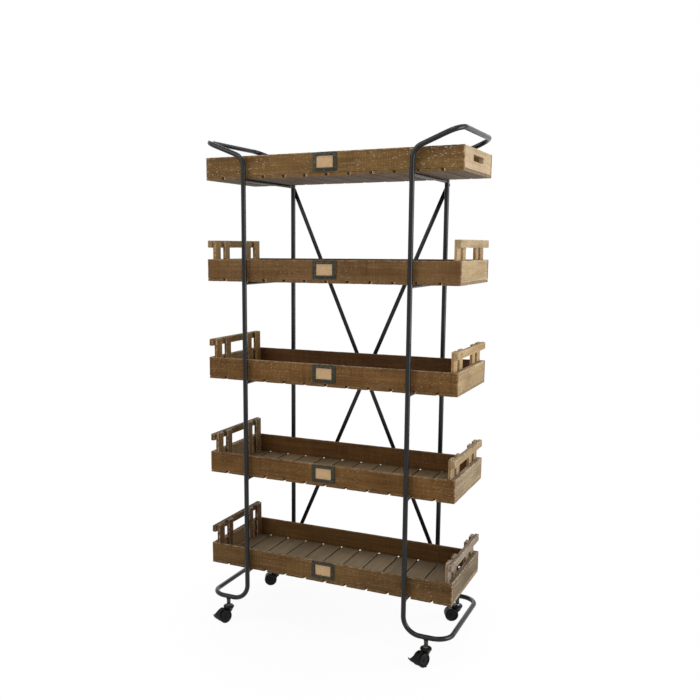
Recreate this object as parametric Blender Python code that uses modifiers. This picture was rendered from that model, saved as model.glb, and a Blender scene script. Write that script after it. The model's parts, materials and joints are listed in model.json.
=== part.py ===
"""Rolling shelf cart: five slatted crate shelves between two bent tube side frames.

Each side frame is one closed loop of tube. It runs up the front, over a hand grip, down the back and
round a low foot that carries two casters. Crossbars join its legs, and the crates rest on them.
Two flat braces cross behind the frames. The four casters swivel, have twin wheels, and the front
two have a foot brake.

Units are metres, +Z is up, -Y is the front and the floor is at z = 0.
"""
import math

import bmesh
import bpy
from mathutils import Matrix, Vector

# Crate shelves
SHELF_COUNT = 5
SHELF_PITCH = 0.350
LOWEST_SHELF_Z = 0.2095
SHELF_LENGTH = 0.920
SHELF_DEPTH = 0.345
SHELF_BACK = 0.020
BOARD_HEIGHT = 0.068
BOARD_THICKNESS = 0.0095
END_THICKNESS = 0.016
BOARD_EDGE = 0.0012

# Floor slats, which run from front to back under the boards
SLAT_COUNT = 12
SLAT_THICKNESS = 0.0095
SLAT_GAP = 0.002
END_SLAT_SHARE = 0.87
SLAT_CORNER_WIDTH = 0.0035
SLAT_CORNER_DEPTH = 0.0125

# Raised handles at the ends of the lower shelves
RAIL_HEIGHT = 0.0255
RAIL_RISE = 0.040
RAIL_EDGE = 0.003
POST_THICKNESS = 0.010
CORNER_POST_WIDTH = 0.048
MIDDLE_POST_WIDTH = 0.033
GRIP_WIDTH = 0.123

# Hand slot in the end boards of the top shelf
SLOT_LENGTH = 0.129
SLOT_HEIGHT = 0.0205
SLOT_DROP = 0.020
SLOT_CORNER = 0.005

# Label holders on the front boards
LABEL_WIDTH = 0.087
LABEL_HEIGHT = 0.061
LABEL_DROP = 0.0015
LABEL_FLANGE = 0.0022
LABEL_STEP = 0.0018
LABEL_RIM = 0.0045
LABEL_CORNER = 0.003
LABEL_WINDOW_WIDTH = 0.059
LABEL_WINDOW_HEIGHT = 0.038
LABEL_CENTRE_X = -0.004
CARD_MARGIN = 0.003
CARD_THICKNESS = 0.0006

# Tube side frames
TUBE_DIAMETER = 0.017
UPRIGHT_X = 0.301
UPRIGHT_GAP = 0.0085
CROSSBAR_DIAMETER = 0.010
GRIP_REACH = 0.1525
GRIP_BEND_DROP = 0.007
GRIP_RISE = 0.0535
GRIP_BEND_RADIUS = 0.045
GRIP_CORNER_RADIUS = 0.049
FOOT_REACH = 0.156
FOOT_BEND_RADIUS = 0.059
FOOT_CORNER_RADIUS = 0.057

# Flat braces behind the frames
BRACE_WIDTH = 0.015
BRACE_THICKNESS = 0.003
BRACE_TOP_DROP = 0.016
BRACE_BOTTOM_DROP = 0.0055
BRACE_END = 0.007
BRACE_CORNER = 0.006
BRACE_JOG_REACH = 0.055
BRACE_JOG_RAMP = 0.030
BRACE_STEPS = 6

# Casters
CASTER_OFFSET = 0.0815
WHEEL_DIAMETER = 0.050
WHEEL_WIDTH = 0.0115
WHEEL_EDGE = 0.003
WHEEL_RIM = 0.006
WHEEL_DISH = 0.003
WHEEL_DRAFT = 0.001
HUB_RADIUS = 0.0075
AXLE_DIAMETER = 0.006
CASTER_TRAIL = 0.022
WEB_THICKNESS = 0.010
WEB_RADIUS = 0.0245
WEB_BOTTOM_Z = 0.008
WHEEL_CLEARANCE = 0.001
BOSS_TOP_Z = 0.060
BOSS_RADIUS = 0.020
BOSS_EDGE = 0.0045
BOSS_RIM_Z = 0.0535
BOSS_FOOT_RADIUS = 0.011
BOSS_FOOT_Z = 0.036
NECK_TOP_Z = 0.046
NECK_BOTTOM_X = -0.001
STEM_DIAMETER = 0.008
STEM_DEPTH = 0.019
STEM_CHAMFER = 0.001
GROOVE_RISE = 0.004
GROOVE_HEIGHT = 0.003
GROOVE_DEPTH = 0.0008
NUT_ACROSS = 0.014
NUT_HEIGHT = 0.0035
SOCKET_DIAMETER = 0.0145
SOCKET_HEIGHT = 0.022
SHANK_LENGTH = 0.015
FRONT_HEADING = math.radians(246)
REAR_HEADING = math.radians(206)

# Foot brakes of the front casters
BRAKE_WIDTH = 0.084
PEDAL_THICKNESS = 0.0025
PEDAL_WHEEL_GAP = 0.0032
PEDAL_TOP_WIDTH = 0.017
PEDAL_TOP_ANGLE = math.radians(86)
PEDAL_FOOT_ANGLE = math.radians(-14)
PEDAL_FLARE = 3.5
PEDAL_STEPS = 10
PEDAL_EAR_SWEEP = 0.010
PEDAL_EAR_TIP = 0.0022
BRAKE_TONGUE_ANGLE = math.radians(-8)
BRAKE_TONGUE_WIDTH = 0.0054
BRAKE_TONGUE_INSET = 0.0005
BRAKE_TONGUE_ROOT = 0.0058
BRAKE_TONGUE_TIP = 0.0046
BRAKE_EYE_RADIUS = 0.0042
BRAKE_PIN_DIAMETER = 0.0036
BRAKE_PIN_INSET = 0.0055
BRAKE_PIN_RISE = 0.004

# Running and seating gaps, and how far joined shapes reach into each other
GAP = 0.0003
WHEEL_GAP = 0.0005
JOIN = 0.0005

# Roundness
TUBE_RESOLUTION = 3
BEND_STEPS = 5
WHEEL_STEPS = 20
ROUND_STEPS = 12
EDGE_STEPS = 3
SHARP_ANGLE = math.radians(35)
MERGE_DISTANCE = 0.00005
EMPTY_SIZE = 0.05

# Derived places
TUBE_RADIUS = TUBE_DIAMETER / 2
UPRIGHT_Y = SHELF_DEPTH / 2 + UPRIGHT_GAP + TUBE_RADIUS
SHELF_HEIGHT = SLAT_THICKNESS + BOARD_HEIGHT
TOP_SHELF_Z = LOWEST_SHELF_Z + (SHELF_COUNT - 1) * SHELF_PITCH
TOP_EDGE_Z = TOP_SHELF_Z + SHELF_HEIGHT
INNER_DEPTH = SHELF_DEPTH - 2 * BOARD_THICKNESS
WHEEL_RADIUS = WHEEL_DIAMETER / 2
WHEEL_CENTRE_Y = WEB_THICKNESS / 2 + WHEEL_GAP + WHEEL_WIDTH / 2
PEDAL_RADIUS = WHEEL_RADIUS + PEDAL_WHEEL_GAP
NUT_BOTTOM_Z = BOSS_TOP_Z + GAP
NUT_TOP_Z = NUT_BOTTOM_Z + NUT_HEIGHT
SOCKET_BOTTOM_Z = NUT_TOP_Z + GAP
FOOT_Z = SOCKET_BOTTOM_Z + SOCKET_HEIGHT + TUBE_RADIUS
CASTER_X = UPRIGHT_X + CASTER_OFFSET
BRAKE_PIN_X = CASTER_TRAIL + WEB_RADIUS - BRAKE_PIN_INSET
BRAKE_PIN_Z = WHEEL_RADIUS + BRAKE_PIN_RISE

# Start from an empty scene
for old in list(bpy.data.objects):
    bpy.data.objects.remove(old, do_unlink=True)

cart = bpy.data.collections.new("rolling_shelf_cart")
bpy.context.scene.collection.children.link(cart)
cutters = bpy.data.collections.new("cutters")
bpy.context.scene.collection.children.link(cutters)


def make_material(name, color, roughness, metallic=0.0):
    material = bpy.data.materials.new(name)
    material.use_nodes = True
    shader = material.node_tree.nodes["Principled BSDF"]
    shader.inputs["Base Color"].default_value = (*color, 1.0)
    shader.inputs["Roughness"].default_value = roughness
    shader.inputs["Metallic"].default_value = metallic
    return material


WOOD = make_material("reclaimed wood", (0.20, 0.115, 0.055), 0.7)
PALE_WOOD = make_material("pale wood", (0.42, 0.31, 0.18), 0.7)
BLACK_STEEL = make_material("black steel", (0.02, 0.021, 0.023), 0.4, 0.9)
PEWTER = make_material("pewter", (0.16, 0.17, 0.15), 0.45, 0.9)
CARD = make_material("tan card", (0.48, 0.36, 0.22), 0.85)
ZINC = make_material("zinc plate", (0.45, 0.44, 0.42), 0.35, 1.0)
BLACK_PLASTIC = make_material("black plastic", (0.012, 0.012, 0.013), 0.35)


def mesh_from(bm, name):
    mesh = bpy.data.meshes.new(name)
    bm.to_mesh(mesh)
    bm.free()
    return mesh


def hide_as_tool(obj):
    obj.hide_render = True
    obj.display_type = "WIRE"


def baked(obj):
    """A new mesh that holds the object's shape with its modifiers applied."""
    bpy.context.view_layer.update()
    depsgraph = bpy.context.evaluated_depsgraph_get()
    mesh = bpy.data.meshes.new_from_object(obj.evaluated_get(depsgraph), depsgraph=depsgraph)
    mesh.name = obj.name
    return mesh


def combined(name, base, added=(), removed=()):
    """One mesh: the base with some meshes fused on, then others cut away."""
    work = bpy.data.objects.new(name, base)
    cutters.objects.link(work)
    tools = []
    for operation, meshes in (("UNION", added), ("DIFFERENCE", removed)):
        for mesh in meshes:
            tool = bpy.data.objects.new(name + "_tool", mesh)
            cutters.objects.link(tool)
            tools.append(tool)
            boolean = work.modifiers.new(operation.lower(), "BOOLEAN")
            boolean.operation = operation
            boolean.solver = "EXACT"
            boolean.object = tool
    result = baked(work)
    for used in [work, *tools]:
        bpy.data.objects.remove(used, do_unlink=True)
    return result


def box_mesh(name, low, high, edge=0.0, segments=1):
    """A box between two corners, with its edges bevelled."""
    bm = bmesh.new()
    bmesh.ops.create_cube(bm, size=1.0)
    low = Vector(low)
    high = Vector(high)
    bmesh.ops.scale(bm, vec=high - low, verts=bm.verts)
    bmesh.ops.translate(bm, vec=(low + high) / 2, verts=bm.verts)
    if edge > 0:
        bmesh.ops.bevel(bm, geom=bm.edges[:], offset=edge, offset_type="OFFSET", affect="EDGES",
                        segments=segments, profile=0.5, material=-1)
    return mesh_from(bm, name)


def rod_mesh(name, start, end, radius, end_radius=None, steps=ROUND_STEPS, edge=0.0):
    """A round rod or cone between two points, its end rims bevelled where asked."""
    start = Vector(start)
    end = Vector(end)
    bm = bmesh.new()
    bmesh.ops.create_cone(bm, cap_ends=True, segments=steps, radius1=radius,
                          radius2=radius if end_radius is None else end_radius,
                          depth=(end - start).length)
    if edge > 0:
        rims = [e for e in bm.edges if abs(e.verts[0].co.z - e.verts[1].co.z) < JOIN]
        bmesh.ops.bevel(bm, geom=rims, offset=edge, offset_type="OFFSET", affect="EDGES",
                        segments=2, profile=0.5, material=-1)
    turn = Vector((0, 0, 1)).rotation_difference(end - start).to_matrix().to_4x4()
    bmesh.ops.transform(bm, matrix=Matrix.Translation((start + end) / 2) @ turn, verts=bm.verts)
    return mesh_from(bm, name)


def turned_mesh(name, profile, steps, closed):
    """A body of revolution about Z. The profile gives (radius, height), outer side first, downwards."""
    bm = bmesh.new()
    verts = [bm.verts.new((radius, 0, height)) for radius, height in profile]
    for first, second in zip(verts, verts[1:]):
        bm.edges.new((first, second))
    if closed:
        bm.edges.new((verts[-1], verts[0]))
    shape = bpy.data.objects.new(name, mesh_from(bm, name + "_profile"))
    cutters.objects.link(shape)
    screw = shape.modifiers.new("turn", "SCREW")
    screw.steps = steps
    screw.render_steps = steps
    screw.use_merge_vertices = True
    screw.merge_threshold = MERGE_DISTANCE
    mesh = baked(shape)
    bpy.data.objects.remove(shape, do_unlink=True)
    return mesh


def extruded_mesh(name, outline, run, edge=0.0):
    """A flat outline of 3D points, extruded along a vector, with all its edges bevelled where asked."""
    bm = bmesh.new()
    face = bm.faces.new([bm.verts.new(point) for point in outline])
    side = bmesh.ops.extrude_face_region(bm, geom=[face])
    moved = [item for item in side["geom"] if isinstance(item, bmesh.types.BMVert)]
    bmesh.ops.translate(bm, vec=run, verts=moved)
    bmesh.ops.recalc_face_normals(bm, faces=bm.faces)
    if edge > 0:
        sharp = [e for e in bm.edges if e.calc_face_angle() > SHARP_ANGLE]
        bmesh.ops.bevel(bm, geom=sharp, offset=edge, offset_type="OFFSET", affect="EDGES",
                        segments=1, profile=0.5, material=-1)
    return mesh_from(bm, name)


def smooth(mesh):
    mesh.shade_smooth()
    mesh.set_sharp_from_angle(angle=SHARP_ANGLE)
    return mesh


def add_empty(name, location, turn_z=0.0, parent=None):
    empty = bpy.data.objects.new(name, None)
    empty.empty_display_size = EMPTY_SIZE
    empty.location = location
    empty.rotation_euler.z = turn_z
    empty.parent = parent
    cart.objects.link(empty)
    return empty


def add_part(name, mesh, material, location=(0, 0, 0), turn_z=0.0, parent=None):
    """A named node that shows the mesh. Nodes of one kind share their mesh."""
    if not mesh.materials:
        mesh.materials.append(material)
    part = bpy.data.objects.new(name, mesh)
    part.location = location
    part.rotation_euler.z = turn_z
    part.parent = parent
    cart.objects.link(part)
    return part


# Side frames: one loop of bent tube each, with welded crossbars and caster sockets

def rounded_loop(corners, radii):
    """Points round a closed loop of straight runs, with an arc tangent to them at each corner."""
    points = []
    for i, corner in enumerate(corners):
        back = (corners[i - 1] - corner).normalized()
        ahead = (corners[(i + 1) % len(corners)] - corner).normalized()
        half_angle = back.angle(ahead) / 2
        centre = corner + (back + ahead).normalized() * radii[i] / math.sin(half_angle)
        reach = radii[i] / math.tan(half_angle)
        start = (corner + back * reach - centre).normalized()
        end = (corner + ahead * reach - centre).normalized()
        for step in range(BEND_STEPS + 1):
            points.append(centre + start.slerp(end, step / BEND_STEPS) * radii[i])
    return points


def tube_mesh(name, points, diameter):
    """A closed loop of round tube through the points."""
    curve = bpy.data.curves.new(name, "CURVE")
    curve.dimensions = "3D"
    curve.bevel_depth = diameter / 2
    curve.bevel_resolution = TUBE_RESOLUTION
    curve.use_fill_caps = True
    spline = curve.splines.new("POLY")
    spline.points.add(len(points) - 1)
    for point, place in zip(spline.points, points):
        point.co = (*place, 1.0)
    spline.use_cyclic_u = True
    guide = bpy.data.objects.new(name, curve)
    cutters.objects.link(guide)
    mesh = baked(guide)
    bpy.data.objects.remove(guide, do_unlink=True)
    return mesh


def side_frame_mesh():
    """The right side frame, about the middle of the shelves."""
    grip_x = UPRIGHT_X + GRIP_REACH
    foot_x = UPRIGHT_X + FOOT_REACH
    bend_z = TOP_EDGE_Z - GRIP_BEND_DROP
    grip_z = TOP_EDGE_Z + GRIP_RISE
    corners = []
    radii = []
    for x, y, z, radius in (
        (UPRIGHT_X, -UPRIGHT_Y, FOOT_Z, FOOT_BEND_RADIUS),
        (UPRIGHT_X, -UPRIGHT_Y, bend_z, GRIP_BEND_RADIUS),
        (grip_x, -UPRIGHT_Y, grip_z, GRIP_CORNER_RADIUS),
        (grip_x, UPRIGHT_Y, grip_z, GRIP_CORNER_RADIUS),
        (UPRIGHT_X, UPRIGHT_Y, bend_z, GRIP_BEND_RADIUS),
        (UPRIGHT_X, UPRIGHT_Y, FOOT_Z, FOOT_BEND_RADIUS),
        (foot_x, UPRIGHT_Y, FOOT_Z, FOOT_CORNER_RADIUS),
        (foot_x, -UPRIGHT_Y, FOOT_Z, FOOT_CORNER_RADIUS),
    ):
        corners.append(Vector((x, y, z)))
        radii.append(radius)
    loop = tube_mesh("side_frame", rounded_loop(corners, radii), TUBE_DIAMETER)
    welded = []
    for level in range(SHELF_COUNT):
        bar_z = LOWEST_SHELF_Z + level * SHELF_PITCH - GAP - CROSSBAR_DIAMETER / 2
        welded.append(rod_mesh("crossbar", (UPRIGHT_X, -UPRIGHT_Y, bar_z), (UPRIGHT_X, UPRIGHT_Y, bar_z),
                               CROSSBAR_DIAMETER / 2))
    bores = []
    for y in (-UPRIGHT_Y, UPRIGHT_Y):
        welded.append(rod_mesh("socket", (CASTER_X, y, SOCKET_BOTTOM_Z), (CASTER_X, y, FOOT_Z),
                               SOCKET_DIAMETER / 2))
        bores.append(rod_mesh("socket_bore", (CASTER_X, y, NUT_BOTTOM_Z),
                              (CASTER_X, y, SOCKET_BOTTOM_Z + SHANK_LENGTH + GAP),
                              STEM_DIAMETER / 2 + GAP))
    return smooth(combined("side_frame", loop, added=welded, removed=bores))


frame_root = add_empty("frame", (0, SHELF_BACK, 0))
side_frame = side_frame_mesh()
add_part("right_side_frame", side_frame, BLACK_STEEL, parent=frame_root)
add_part("left_side_frame", side_frame, BLACK_STEEL, turn_z=math.pi, parent=frame_root)


# Back braces: two flat bars that cross behind the rear uprights

def brace_mesh(name, jog):
    """A flat bar along X about its middle, joggled back there so that it passes behind another."""
    run = Vector((2 * UPRIGHT_X, 0, TOP_SHELF_Z - BRACE_TOP_DROP - LOWEST_SHELF_Z + BRACE_BOTTOM_DROP))
    half_length = run.length / 2 + BRACE_END
    bm = bmesh.new()
    bmesh.ops.create_cube(bm, size=1.0)
    bmesh.ops.scale(bm, vec=(2 * half_length, BRACE_THICKNESS, BRACE_WIDTH), verts=bm.verts)
    upright_edges = [e for e in bm.edges if abs(e.verts[0].co.y - e.verts[1].co.y) > JOIN]
    bmesh.ops.bevel(bm, geom=upright_edges, offset=BRACE_CORNER, offset_type="OFFSET",
                    affect="EDGES", segments=3, profile=0.5, material=-1)
    for cut in range(BRACE_STEPS + 1):
        reach = BRACE_JOG_REACH - BRACE_JOG_RAMP * cut / BRACE_STEPS
        for x in (-reach, reach):
            bmesh.ops.bisect_plane(bm, geom=bm.verts[:] + bm.edges[:] + bm.faces[:],
                                   plane_co=(x, 0, 0), plane_no=(1, 0, 0))
    for vert in bm.verts:
        share = min(1.0, max(0.0, (BRACE_JOG_REACH - abs(vert.co.x)) / BRACE_JOG_RAMP))
        vert.co.y += jog * share * share * (3 - 2 * share)
    return mesh_from(bm, name)


brace_seat = UPRIGHT_Y + TUBE_RADIUS + GAP + BRACE_THICKNESS / 2
brace_top = TOP_SHELF_Z - BRACE_TOP_DROP
brace_bottom = LOWEST_SHELF_Z - BRACE_BOTTOM_DROP
brace_slope = math.atan2(brace_top - brace_bottom, 2 * UPRIGHT_X)
for name, jog, lean in (
    ("front_back_brace", 0.0, brace_slope),
    ("rear_back_brace", BRACE_THICKNESS + GAP, -brace_slope),
):
    brace = add_part(name, smooth(brace_mesh(name, jog)), BLACK_STEEL,
                     location=(0, brace_seat, (brace_top + brace_bottom) / 2), parent=frame_root)
    brace.rotation_euler.y = lean


# Crate shelves: long front and back boards, end boards between them, slats nailed underneath

def front_board_mesh():
    half = SHELF_LENGTH / 2
    front = -SHELF_DEPTH / 2
    return box_mesh("front_board", (-half, front, SLAT_THICKNESS + GAP),
                    (half, front + BOARD_THICKNESS, SHELF_HEIGHT), BOARD_EDGE)


def slat_outline(centre_x, width):
    """A slat seen from above, with its four corners cut."""
    half_width = width / 2
    half_depth = SHELF_DEPTH / 2
    outline = []
    for x_side, y_side, along_x_first in ((-1, -1, False), (1, -1, True), (1, 1, False), (-1, 1, True)):
        near_x = Vector((centre_x + x_side * (half_width - SLAT_CORNER_WIDTH), y_side * half_depth, 0))
        near_y = Vector((centre_x + x_side * half_width, y_side * (half_depth - SLAT_CORNER_DEPTH), 0))
        outline += [near_x, near_y] if along_x_first else [near_y, near_x]
    return outline


def floor_mesh():
    """All the slats of one floor, evenly spaced, with narrower ones at the ends."""
    slat_width = (SHELF_LENGTH - (SLAT_COUNT - 1) * SLAT_GAP) / (SLAT_COUNT - 2 + 2 * END_SLAT_SHARE)
    bm = bmesh.new()
    left = -SHELF_LENGTH / 2
    for i in range(SLAT_COUNT):
        width = slat_width * (END_SLAT_SHARE if i in (0, SLAT_COUNT - 1) else 1.0)
        face = bm.faces.new([bm.verts.new(point) for point in slat_outline(left + width / 2, width)])
        raised = bmesh.ops.extrude_face_region(bm, geom=[face])
        top = [item for item in raised["geom"] if isinstance(item, bmesh.types.BMVert)]
        bmesh.ops.translate(bm, vec=(0, 0, SLAT_THICKNESS), verts=top)
        left += width + SLAT_GAP
    bmesh.ops.recalc_face_normals(bm, faces=bm.faces)
    return mesh_from(bm, "floor")


def back_and_floor_mesh():
    half = SHELF_LENGTH / 2
    back = SHELF_DEPTH / 2
    board = box_mesh("back_board", (-half, back - BOARD_THICKNESS, SLAT_THICKNESS - JOIN),
                     (half, back, SHELF_HEIGHT), BOARD_EDGE)
    return combined("back_and_floor", floor_mesh(), added=[board])


def end_board_mesh():
    half = SHELF_LENGTH / 2
    half_depth = INNER_DEPTH / 2 - GAP
    return box_mesh("end_board", (half - END_THICKNESS, -half_depth, SLAT_THICKNESS + GAP),
                    (half, half_depth, SHELF_HEIGHT), BOARD_EDGE)


def hand_slot_mesh():
    """The cutter for a hand slot, which runs past both faces of an end board."""
    half = SHELF_LENGTH / 2
    top = SHELF_HEIGHT - SLOT_DROP
    return box_mesh("hand_slot", (half - 2 * END_THICKNESS, -SLOT_LENGTH / 2, top - SLOT_HEIGHT),
                    (half + END_THICKNESS, SLOT_LENGTH / 2, top), SLOT_CORNER, 3)


def raised_handle_mesh():
    """Four posts inside the end board, and a rail across their outer faces."""
    outer = SHELF_LENGTH / 2
    post_outer = outer - END_THICKNESS - GAP
    top = SHELF_HEIGHT + RAIL_RISE + RAIL_HEIGHT
    rail = box_mesh("rail", (post_outer - JOIN, -SHELF_DEPTH / 2, top - RAIL_HEIGHT),
                    (outer, SHELF_DEPTH / 2, top), RAIL_EDGE)
    inner_y = INNER_DEPTH / 2 - GAP
    corner_inner_y = SHELF_DEPTH / 2 - CORNER_POST_WIDTH
    middle_inner_y = GRIP_WIDTH / 2
    spans = ((corner_inner_y, inner_y), (middle_inner_y, middle_inner_y + MIDDLE_POST_WIDTH))
    posts = []
    for low, high in spans:
        for low_y, high_y in ((low, high), (-high, -low)):
            posts.append(box_mesh("post", (post_outer - POST_THICKNESS, low_y, SLAT_THICKNESS + GAP),
                                  (post_outer, high_y, top)))
    return combined("raised_handle", rail, added=posts)


def label_frame_mesh():
    """A stepped moulding round a window, with a pocket behind it that opens at the top."""
    back = -SHELF_DEPTH / 2 - GAP
    top = SHELF_HEIGHT - LABEL_DROP
    centre = Vector((LABEL_CENTRE_X, back, top - LABEL_HEIGHT / 2))
    bm = bmesh.new()
    bmesh.ops.create_cube(bm, size=1.0)
    bmesh.ops.scale(bm, vec=(LABEL_WIDTH, LABEL_FLANGE, LABEL_HEIGHT), verts=bm.verts)
    bmesh.ops.translate(bm, vec=centre - Vector((0, LABEL_FLANGE / 2, 0)), verts=bm.verts)
    corners = [e for e in bm.edges if abs(e.verts[0].co.y - e.verts[1].co.y) > JOIN]
    face = min(bm.faces, key=lambda f: f.calc_center_median().y)
    for inset, rise in ((LABEL_RIM, 0.0), (LABEL_STEP, LABEL_STEP), (LABEL_STEP, LABEL_STEP / 2)):
        bmesh.ops.inset_region(bm, faces=[face], thickness=inset, use_even_offset=True)
        bmesh.ops.translate(bm, vec=(0, -rise, 0), verts=face.verts)
    bmesh.ops.bevel(bm, geom=corners, offset=LABEL_CORNER, offset_type="OFFSET", affect="EDGES",
                    segments=2, profile=0.5, material=-1)
    plate = mesh_from(bm, "label_frame")
    half_width = LABEL_WINDOW_WIDTH / 2
    half_height = LABEL_WINDOW_HEIGHT / 2
    window = box_mesh("window", centre + Vector((-half_width, -LABEL_WIDTH, -half_height)),
                      centre + Vector((half_width, LABEL_WIDTH, half_height)))
    pocket_depth = CARD_THICKNESS + 2 * GAP
    pocket_half = half_width + CARD_MARGIN + GAP
    pocket_low = centre + Vector((-pocket_half, -pocket_depth, -half_height - CARD_MARGIN - GAP))
    pocket_high = centre + Vector((pocket_half, LABEL_WIDTH, LABEL_HEIGHT))
    return combined("label_frame", plate, removed=[window, box_mesh("pocket", pocket_low, pocket_high)])


def label_card_mesh():
    """The bare card, held in the pocket behind the window."""
    face = -SHELF_DEPTH / 2 - 2 * GAP
    centre_z = SHELF_HEIGHT - LABEL_DROP - LABEL_HEIGHT / 2
    half_width = LABEL_WINDOW_WIDTH / 2 + CARD_MARGIN
    half_height = LABEL_WINDOW_HEIGHT / 2 + CARD_MARGIN
    low = (LABEL_CENTRE_X - half_width, face - CARD_THICKNESS, centre_z - half_height)
    high = (LABEL_CENTRE_X + half_width, face, centre_z + half_height)
    return box_mesh("label_card", low, high)


front_board = front_board_mesh()
back_and_floor = back_and_floor_mesh()
end_board = end_board_mesh()
raised_handle = raised_handle_mesh()
label_frame = label_frame_mesh()
label_card = label_card_mesh()

for level in range(SHELF_COUNT):
    prefix = f"shelf_{level + 1}_"
    is_top = level == SHELF_COUNT - 1
    shelf = add_empty(prefix + "crate", (0, SHELF_BACK, LOWEST_SHELF_Z + level * SHELF_PITCH))
    add_part(prefix + "front_board", front_board, WOOD, parent=shelf)
    add_part(prefix + "back_and_floor", back_and_floor, WOOD, parent=shelf)
    add_part(prefix + "label_frame", label_frame, PEWTER, parent=shelf)
    add_part(prefix + "label_card", label_card, CARD, parent=shelf)
    for side, turn in (("right", 0.0), ("left", math.pi)):
        end = add_part(f"{prefix}{side}_end", end_board, PALE_WOOD, turn_z=turn, parent=shelf)
        if is_top:
            slot = bpy.data.objects.new(f"{side}_hand_slot", hand_slot_mesh())
            slot.parent = shelf
            slot.rotation_euler.z = turn
            hide_as_tool(slot)
            cutters.objects.link(slot)
            cut = end.modifiers.new("hand slot", "BOOLEAN")
            cut.operation = "DIFFERENCE"
            cut.solver = "EXACT"
            cut.object = slot
        else:
            add_part(f"{prefix}{side}_handle", raised_handle, PALE_WOOD, turn_z=turn, parent=shelf)


# Casters: local +X is the side that trails, with the stem's axis at x = 0

def stem_mesh():
    """A turned stem with a snap groove near its foot, and a hex nut below its socket."""
    radius = STEM_DIAMETER / 2
    top = SOCKET_BOTTOM_Z + SHANK_LENGTH
    bottom = BOSS_TOP_Z - STEM_DEPTH
    groove = radius - GROOVE_DEPTH
    groove_bottom = bottom + GROOVE_RISE
    groove_top = groove_bottom + GROOVE_HEIGHT
    profile = ((0, top), (radius - STEM_CHAMFER, top), (radius, top - STEM_CHAMFER),
               (radius, groove_top + GROOVE_DEPTH), (groove, groove_top), (groove, groove_bottom),
               (radius, groove_bottom - GROOVE_DEPTH), (radius, bottom + STEM_CHAMFER),
               (radius - STEM_CHAMFER, bottom), (0, bottom))
    stem = turned_mesh("stem", profile, ROUND_STEPS, closed=False)
    nut_radius = NUT_ACROSS / 2 / math.cos(math.pi / 6)
    nut = rod_mesh("nut", (0, 0, NUT_BOTTOM_Z), (0, 0, NUT_TOP_Z), nut_radius, steps=6)
    return smooth(combined("stem", stem, added=[nut]))


def boss_mesh():
    """The round boss that takes the stem: a rounded top, a short rim and a neck that tapers down."""
    bend = BOSS_TOP_Z - BOSS_EDGE
    profile = [(0, BOSS_TOP_Z)]
    for step in range(EDGE_STEPS + 1):
        angle = math.pi / 2 * (1 - step / EDGE_STEPS)
        profile.append((BOSS_RADIUS - BOSS_EDGE + BOSS_EDGE * math.cos(angle),
                        bend + BOSS_EDGE * math.sin(angle)))
    profile += [(BOSS_RADIUS, BOSS_RIM_Z), (BOSS_FOOT_RADIUS, BOSS_FOOT_Z), (0, BOSS_FOOT_Z)]
    return turned_mesh("boss", profile, WHEEL_STEPS, closed=False)


def housing_mesh(with_brake):
    """The moulded body of a caster: the boss, the web between the wheels and the fixed axle."""
    centre = Vector((CASTER_TRAIL, 0, WHEEL_RADIUS))
    across = Vector((0, 1, 0))
    web_half = WEB_THICKNESS / 2
    web = rod_mesh("web", centre - across * web_half, centre + across * web_half, WEB_RADIUS,
                   steps=WHEEL_STEPS)
    neck_half = web_half - JOIN
    neck = extruded_mesh("neck", [(-BOSS_FOOT_RADIUS, -neck_half, NECK_TOP_Z),
                                  (NECK_BOTTOM_X, -neck_half, WHEEL_RADIUS),
                                  (CASTER_TRAIL, -neck_half, WHEEL_RADIUS),
                                  (CASTER_TRAIL, -neck_half, NECK_TOP_Z)], (0, 2 * neck_half, 0))
    removed = []
    for side in (-1, 1):
        wall = centre + across * side * web_half
        removed.append(rod_mesh("wheel_well", wall, wall + across * side * BOSS_RADIUS,
                                WHEEL_RADIUS + WHEEL_CLEARANCE, steps=WHEEL_STEPS))
    removed.append(box_mesh("open_bottom", (-WHEEL_RADIUS, -BOSS_RADIUS, -WHEEL_RADIUS),
                            (CASTER_TRAIL + WHEEL_DIAMETER, BOSS_RADIUS, WEB_BOTTOM_Z)))
    removed.append(rod_mesh("stem_bore", (0, 0, BOSS_TOP_Z - STEM_DEPTH - GAP), (0, 0, BOSS_TOP_Z + JOIN),
                            STEM_DIAMETER / 2 + GAP))
    body = combined("housing", boss_mesh(), added=[web, neck], removed=removed)
    axle_half = WHEEL_CENTRE_Y + WHEEL_WIDTH / 2
    pins = [rod_mesh("axle", centre - across * axle_half, centre + across * axle_half, AXLE_DIAMETER / 2)]
    if with_brake:
        slot_half = BRAKE_TONGUE_WIDTH / 2 + GAP
        inner_x = BRAKE_PIN_X - BRAKE_EYE_RADIUS - 2 * GAP
        slot = box_mesh("brake_slot", (inner_x, -slot_half, 0),
                        (CASTER_TRAIL + WHEEL_DIAMETER, slot_half, BRAKE_PIN_Z + BRAKE_EYE_RADIUS + 2 * GAP))
        body = combined("housing", body, removed=[slot])
        pin_half = slot_half + (web_half - slot_half) / 2
        pins.append(rod_mesh("brake_pin", (BRAKE_PIN_X, -pin_half, BRAKE_PIN_Z),
                             (BRAKE_PIN_X, pin_half, BRAKE_PIN_Z), BRAKE_PIN_DIAMETER / 2))
    return smooth(combined("housing", body, added=pins))


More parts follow.
